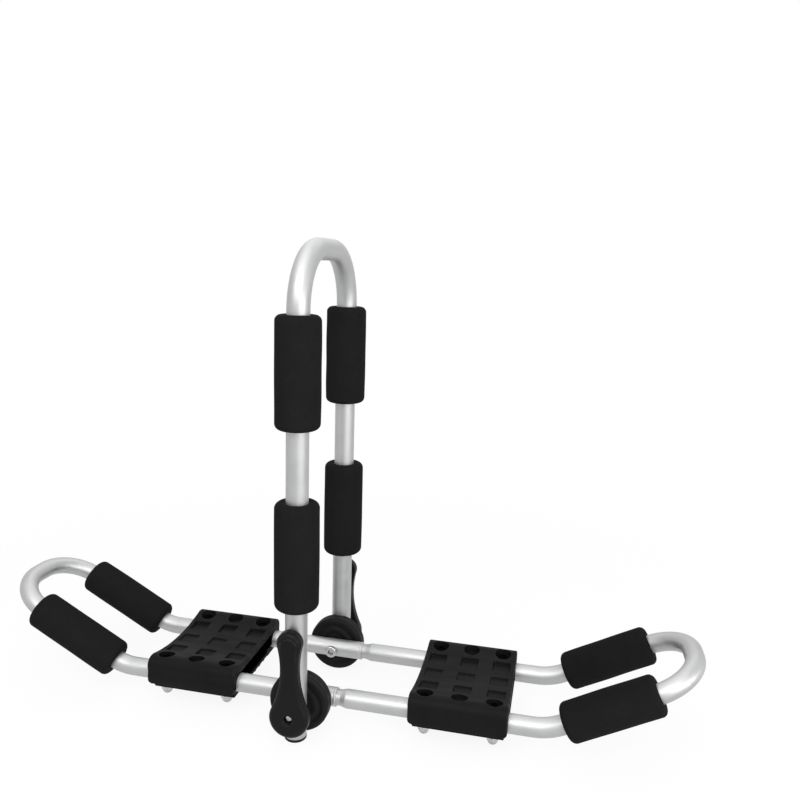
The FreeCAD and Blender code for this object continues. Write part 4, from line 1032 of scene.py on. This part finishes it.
def spacer_skin(name, sign):
    """A disc on the same net as a knuckle's: a flat outer face with a rounded rim, a wall, and
    a hollow back that fits round the leg."""
    u, v = disc_net(spacer_radius, np.linspace(-np.pi / 2, np.pi / 2, 41), 41)
    rounded = spacer_span[1] - quarter_round(spacer_edge, np.hypot(u, v) - spacer_radius + spacer_edge)
    hollow = np.maximum(spacer_span[0], leg_side + np.sqrt(np.clip(leg_seat ** 2 - u ** 2, 0, None)))
    sheets = [np.stack([pivot_x + u, sign * side, rail_level + v], -1) for side in (rounded, hollow)]
    return skin(name, sheets + [np.stack([outline(sheet) for sheet in sheets])])


for end, sign in front_and_rear:
    piece = spacer_skin(f"{end}_lever_spacer", sign)
    piece.data.materials.append(plug_plastic)
    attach(piece, "mast")
    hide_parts(f"{end}_leg_spacer")

# ---- Clamping levers and their nuts
# Handles of smooth black nylon, moulded round a plated nut that runs on the pivot bolt's
# thread. A round boss narrows to a waist and widens to a knob with a raised lip for a finger.
boss_radius = 23.3
knob_radius = 14.5
knob_height = 90.0
waist_radius = 115.0
lever_span = (105.2, 119.2)
lever_edge = 6.6
edge_fall = 0.86
lever_hole = 4.75
lever_back_edge = 1.2
lip_groove = 11.6
lip_ridge = 9.7
nut_span = (105.2, 111.7)
handle_nut_half = 6.5
nut_bore = 4.08

flank_level = ((knob_height ** 2 + (boss_radius + waist_radius) ** 2 - (knob_radius + waist_radius) ** 2)
               / (2 * knob_height))
flank_side = math.sqrt((boss_radius + waist_radius) ** 2 - flank_level ** 2)
boss_joint = boss_radius * flank_level / (boss_radius + waist_radius)
knob_joint = knob_height - knob_radius * (knob_height - flank_level) / (knob_radius + waist_radius)


def lever_half_width(w):
    """Half the lever's width at a height over the pivot: the boss's circle, the hollow arc of
    the flank, and the knob's circle, which meet without a corner."""
    boss = np.sqrt(np.clip(boss_radius ** 2 - w ** 2, 0, None))
    flank = flank_side - np.sqrt(waist_radius ** 2 - (w - flank_level) ** 2)
    knob = np.sqrt(np.clip(knob_radius ** 2 - (w - knob_height) ** 2, 0, None))
    return np.where(w < boss_joint, boss, np.where(w < knob_joint, flank, knob))


def lever_inset(u, w):
    """How far inside the lever's outline a point lies, from the same three arcs."""
    boss = boss_radius - np.hypot(u, w)
    flank = np.hypot(flank_side - np.abs(u), w - flank_level) - waist_radius
    knob = knob_radius - np.hypot(u, w - knob_height)
    return np.where(w < boss_joint, boss, np.where(w < knob_joint, flank, knob))


def lever_face(u, w):
    """How deep the lever's outer face lies: a broad soft edge, and over the top of the knob a
    lip with a groove behind it and a step down to the flat face, which run out at its sides."""
    inset = np.clip(lever_inset(u, w), 0, lever_edge)
    edge = edge_fall * quarter_round(lever_edge, lever_edge - inset)
    reach = np.hypot(u, np.maximum(w - knob_height + 2.5, 0))
    over_top = eased(np.clip((w - knob_height + 1) / 6, 0, 1))
    groove = 0.9 * np.exp(-((reach - lip_groove) / 0.75) ** 2)
    ridge = 0.6 * np.exp(-((reach - lip_ridge) / 0.8) ** 2)
    step = 1.2 * eased(np.clip((lip_ridge - 0.3 - reach) / 1.6, 0, 1)) * np.clip((w - 68) / 20, 0, 1)
    return edge + (groove - ridge) * over_top + step + 0.6


lever_hole_rim = [(lever_hole + 2.15, 0), (lever_hole + 1.75, 0), (lever_hole + 1.45, 0.1),
                  (lever_hole + 1, 0.5), (lever_hole + 0.35, 1.6), (lever_hole + 0.1, 2.2), (lever_hole, 2.8)]
lever_hole_well = [(lever_hole, nut_span[1] + 0.5), (lever_hole - 0.35, nut_span[1] + 0.05),
                   (0, nut_span[1] + 0.05)]


def lever_skin(name, sign):
    """A lever on a net of level rows that close up at its outline. Its outer face follows the
    depth above, its inner face is flat with a small rounding, a wall joins them, and the round
    hole over the pivot is let into the outer face."""
    quarter = np.linspace(0, np.pi / 2, 33)
    w = np.unique(np.round(np.r_[
        -boss_radius * np.cos(quarter), np.linspace(0, boss_joint, 10),
        np.linspace(boss_joint, knob_joint, 49), np.linspace(knob_joint, knob_height, 6),
        knob_height + knob_radius * np.sin(quarter)], 4))
    sweep = np.linspace(-np.pi / 2, np.pi / 2, 81)
    u = lever_half_width(w)[:, None] * np.sin(sweep)
    w = np.broadcast_to(w[:, None], u.shape)

    def at(u, w, level):
        """The point at a place on the lever's face and a distance out from the middle of the rack."""
        return np.stack([pivot_x - sign * u, sign * level, rail_level + w], -1)

    outer = at(u, w, lever_span[1] - lever_face(u, w))
    inset = np.clip(lever_inset(u, w), 0, lever_back_edge)
    inner = at(u, w, lever_span[0] + quarter_round(lever_back_edge, lever_back_edge - inset))
    rims = [outline(face) for face in (outer, inner)]
    shares = np.linspace(0, 1, 5)[:, None, None]
    wall = rims[0] * (1 - shares) + rims[1] * shares

    hole_half = 7.5
    rows = [int(np.argmin(np.abs(w[:, 0] - side * hole_half))) for side in (-1, 1)]
    columns = [int(np.argmin(np.abs(sweep - side * math.asin(hole_half / boss_radius)))) for side in (-1, 1)]
    kept = np.ones((u.shape[0] - 1, u.shape[1] - 1), bool)
    kept[rows[0]:rows[1], columns[0]:columns[1]] = False

    def surface(x, z):
        """The distance out of the outer face, for the rings of the hole."""
        return lever_span[1] - lever_face((pivot_x - x) * sign, z - rail_level)

    hole = round_hole(border_of(outer, rows, columns), (pivot_x, rail_level),
                      ((1, 0, 0), (0, 0, 1), (0, sign, 0)), surface, lever_hole_rim, lever_hole_well)
    return skin(name, [(outer, outer, kept), inner, wall, hole], crease=36)


lever_nylon = black_moulding("lever_nylon", (0.0060, 0.0060, 0.0062), (0.019, 0.019, 0.0194), size=1.4,
                             relief=0.00005, roughness=(0.36, 0.50), wear=0.8, specular=0.10)
handle_nut_profile = [
    (nut_bore, nut_span[0], 0), (handle_nut_half - 0.4, nut_span[0], 0),
    (handle_nut_half, nut_span[0] + 0.3, 1), (handle_nut_half, nut_span[1] - 0.3, 1),
    (handle_nut_half - 0.4, nut_span[1], 0),
    (nut_bore, nut_span[1], 0), (nut_bore, nut_span[0], 0)]
for end, sign in front_and_rear:
    piece = lever_skin(f"{end}_clamp_handle", sign)
    piece.data.materials.append(lever_nylon)
    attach(piece, f"{end}_lever")
    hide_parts(f"{end}_lever")
    axes = ((-sign, 0, 0), (0, 0, 1), (0, sign, 0))
    piece = skin(f"{end}_handle_nut", [turned_shape((pivot_x, 0, rail_level), axes, handle_nut_profile)],
                 crease=30)
    piece.data.materials.append(plated)
    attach(piece, f"{end}_lever")
    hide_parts(f"{end}_lever_nut")

# ---- Studio
# A wide pale card under the rack and a white surround, a large soft lamp before it and softer
# ones at its right, above and behind it, and a camera a little above the rack on its right.
floor_radius = 6000
floor_level = -0.4
card = (0.90, 0.90, 0.90)
card_shade = (0.895, 0.895, 0.895)
surround_light = 0.34


def seen_directly(tree):
    """1 for what is seen straight, in gloss or through glass, and 0 for what only gives light."""
    rays = node(tree, "LightPath").outputs
    straight = maths(tree, "MAXIMUM", rays["Is Camera Ray"], rays["Is Glossy Ray"])
    return maths(tree, "MAXIMUM", straight, rays["Is Transmission Ray"])


rings = np.r_[0.0, np.geomspace(300, floor_radius, 24)][:, None]
angle = np.linspace(0, 2 * np.pi, 97)[None]
floor = skin("floor_card", [turned((0, 0, floor_level), upright, rings, 0 * rings, angle)])
made, tree, shader = bare_material("pale_card", Roughness=0.9, Specular_IOR_Level=0.1)
floor.data.materials.append(made)
spot = node(tree, "TexCoord").outputs["Object"]
fibre = between(tree, noise(tree, spot, 700.0, 3, 0.6), 0.3, 0.7)
tree.links.new(blended(tree, fibre, card_shade, card), shader.inputs["Base Color"])
away = node(tree, "VectorMath", {0: spot}, operation="LENGTH").outputs["Value"]
share = times(tree, seen_directly(tree), between(tree, away, 0.45, 1.2, 0.90, 1.0))
white = node(tree, "Emission", {"Color": (1, 1, 1, 1), "Strength": 1.0}).outputs[0]
mixed = node(tree, "MixShader", {0: share, 1: shader.outputs[0], 2: white}).outputs[0]
tree.links.new(mixed, tree.nodes["Material Output"].inputs["Surface"])

world = bpy.data.worlds.new("studio")
bpy.context.scene.world = world
world.use_nodes = True
tree = world.node_tree
backdrop = tree.nodes["Background"]
backdrop.inputs["Color"].default_value = (1, 1, 1, 1)
strength = between(tree, seen_directly(tree), 0.0, 1.0, surround_light, 1.0, "LINEAR")
tree.links.new(strength, backdrop.inputs["Strength"])

for name, place, aim_level, width, height, power in (
        ("front_softbox", (0.10, -1.9, 1.95), 0.15, 3.0, 1.3, 51),
        ("right_softbox", (2.1, -1.35, 0.6), 0.25, 2.8, 1.1, 37),
        ("top_softbox", (-0.2, -0.3, 2.6), 0.2, 2.6, 2.2, 21),
        ("rear_softbox", (-0.1, 1.7, 2.2), 0.2, 3.0, 1.2, 10)):
    lamp = bpy.data.lights.new(name, "AREA")
    lamp.shape = "RECTANGLE"
    lamp.size, lamp.size_y, lamp.energy = width, height, power
    stand = bpy.data.objects.new(name, lamp)
    bpy.context.scene.collection.objects.link(stand)
    stand.location = place
    facing = Vector((0, 0, aim_level)) - Vector(place)
    stand.rotation_euler = facing.to_track_quat("-Z", "Y").to_euler()

frame_pixels = 800
lens_pixels = 766.0
camera_place = (0.2563, -0.8579, 0.5453)
turn, dip, roll = (math.radians(angle) for angle in (12.202, 10.060, 1.718))
ahead = Vector((-math.sin(turn) * math.cos(dip), math.cos(turn) * math.cos(dip), -math.sin(dip)))
right = Vector((math.cos(turn), math.sin(turn), 0))
above = right.cross(ahead)
right, above = (math.cos(roll) * right + math.sin(roll) * above,
                -math.sin(roll) * right + math.cos(roll) * above)
camera = bpy.data.cameras.new("camera")
camera.sensor_width = 36
camera.lens = lens_pixels * camera.sensor_width / frame_pixels
camera.clip_start = 0.01
stand = bpy.data.objects.new("camera", camera)
bpy.context.scene.collection.objects.link(stand)
facing = Matrix((right, above, -ahead)).transposed().to_4x4()
stand.matrix_world = Matrix.Translation(camera_place) @ facing
bpy.context.scene.camera = stand
bpy.context.scene.view_settings.view_transform = "Standard"
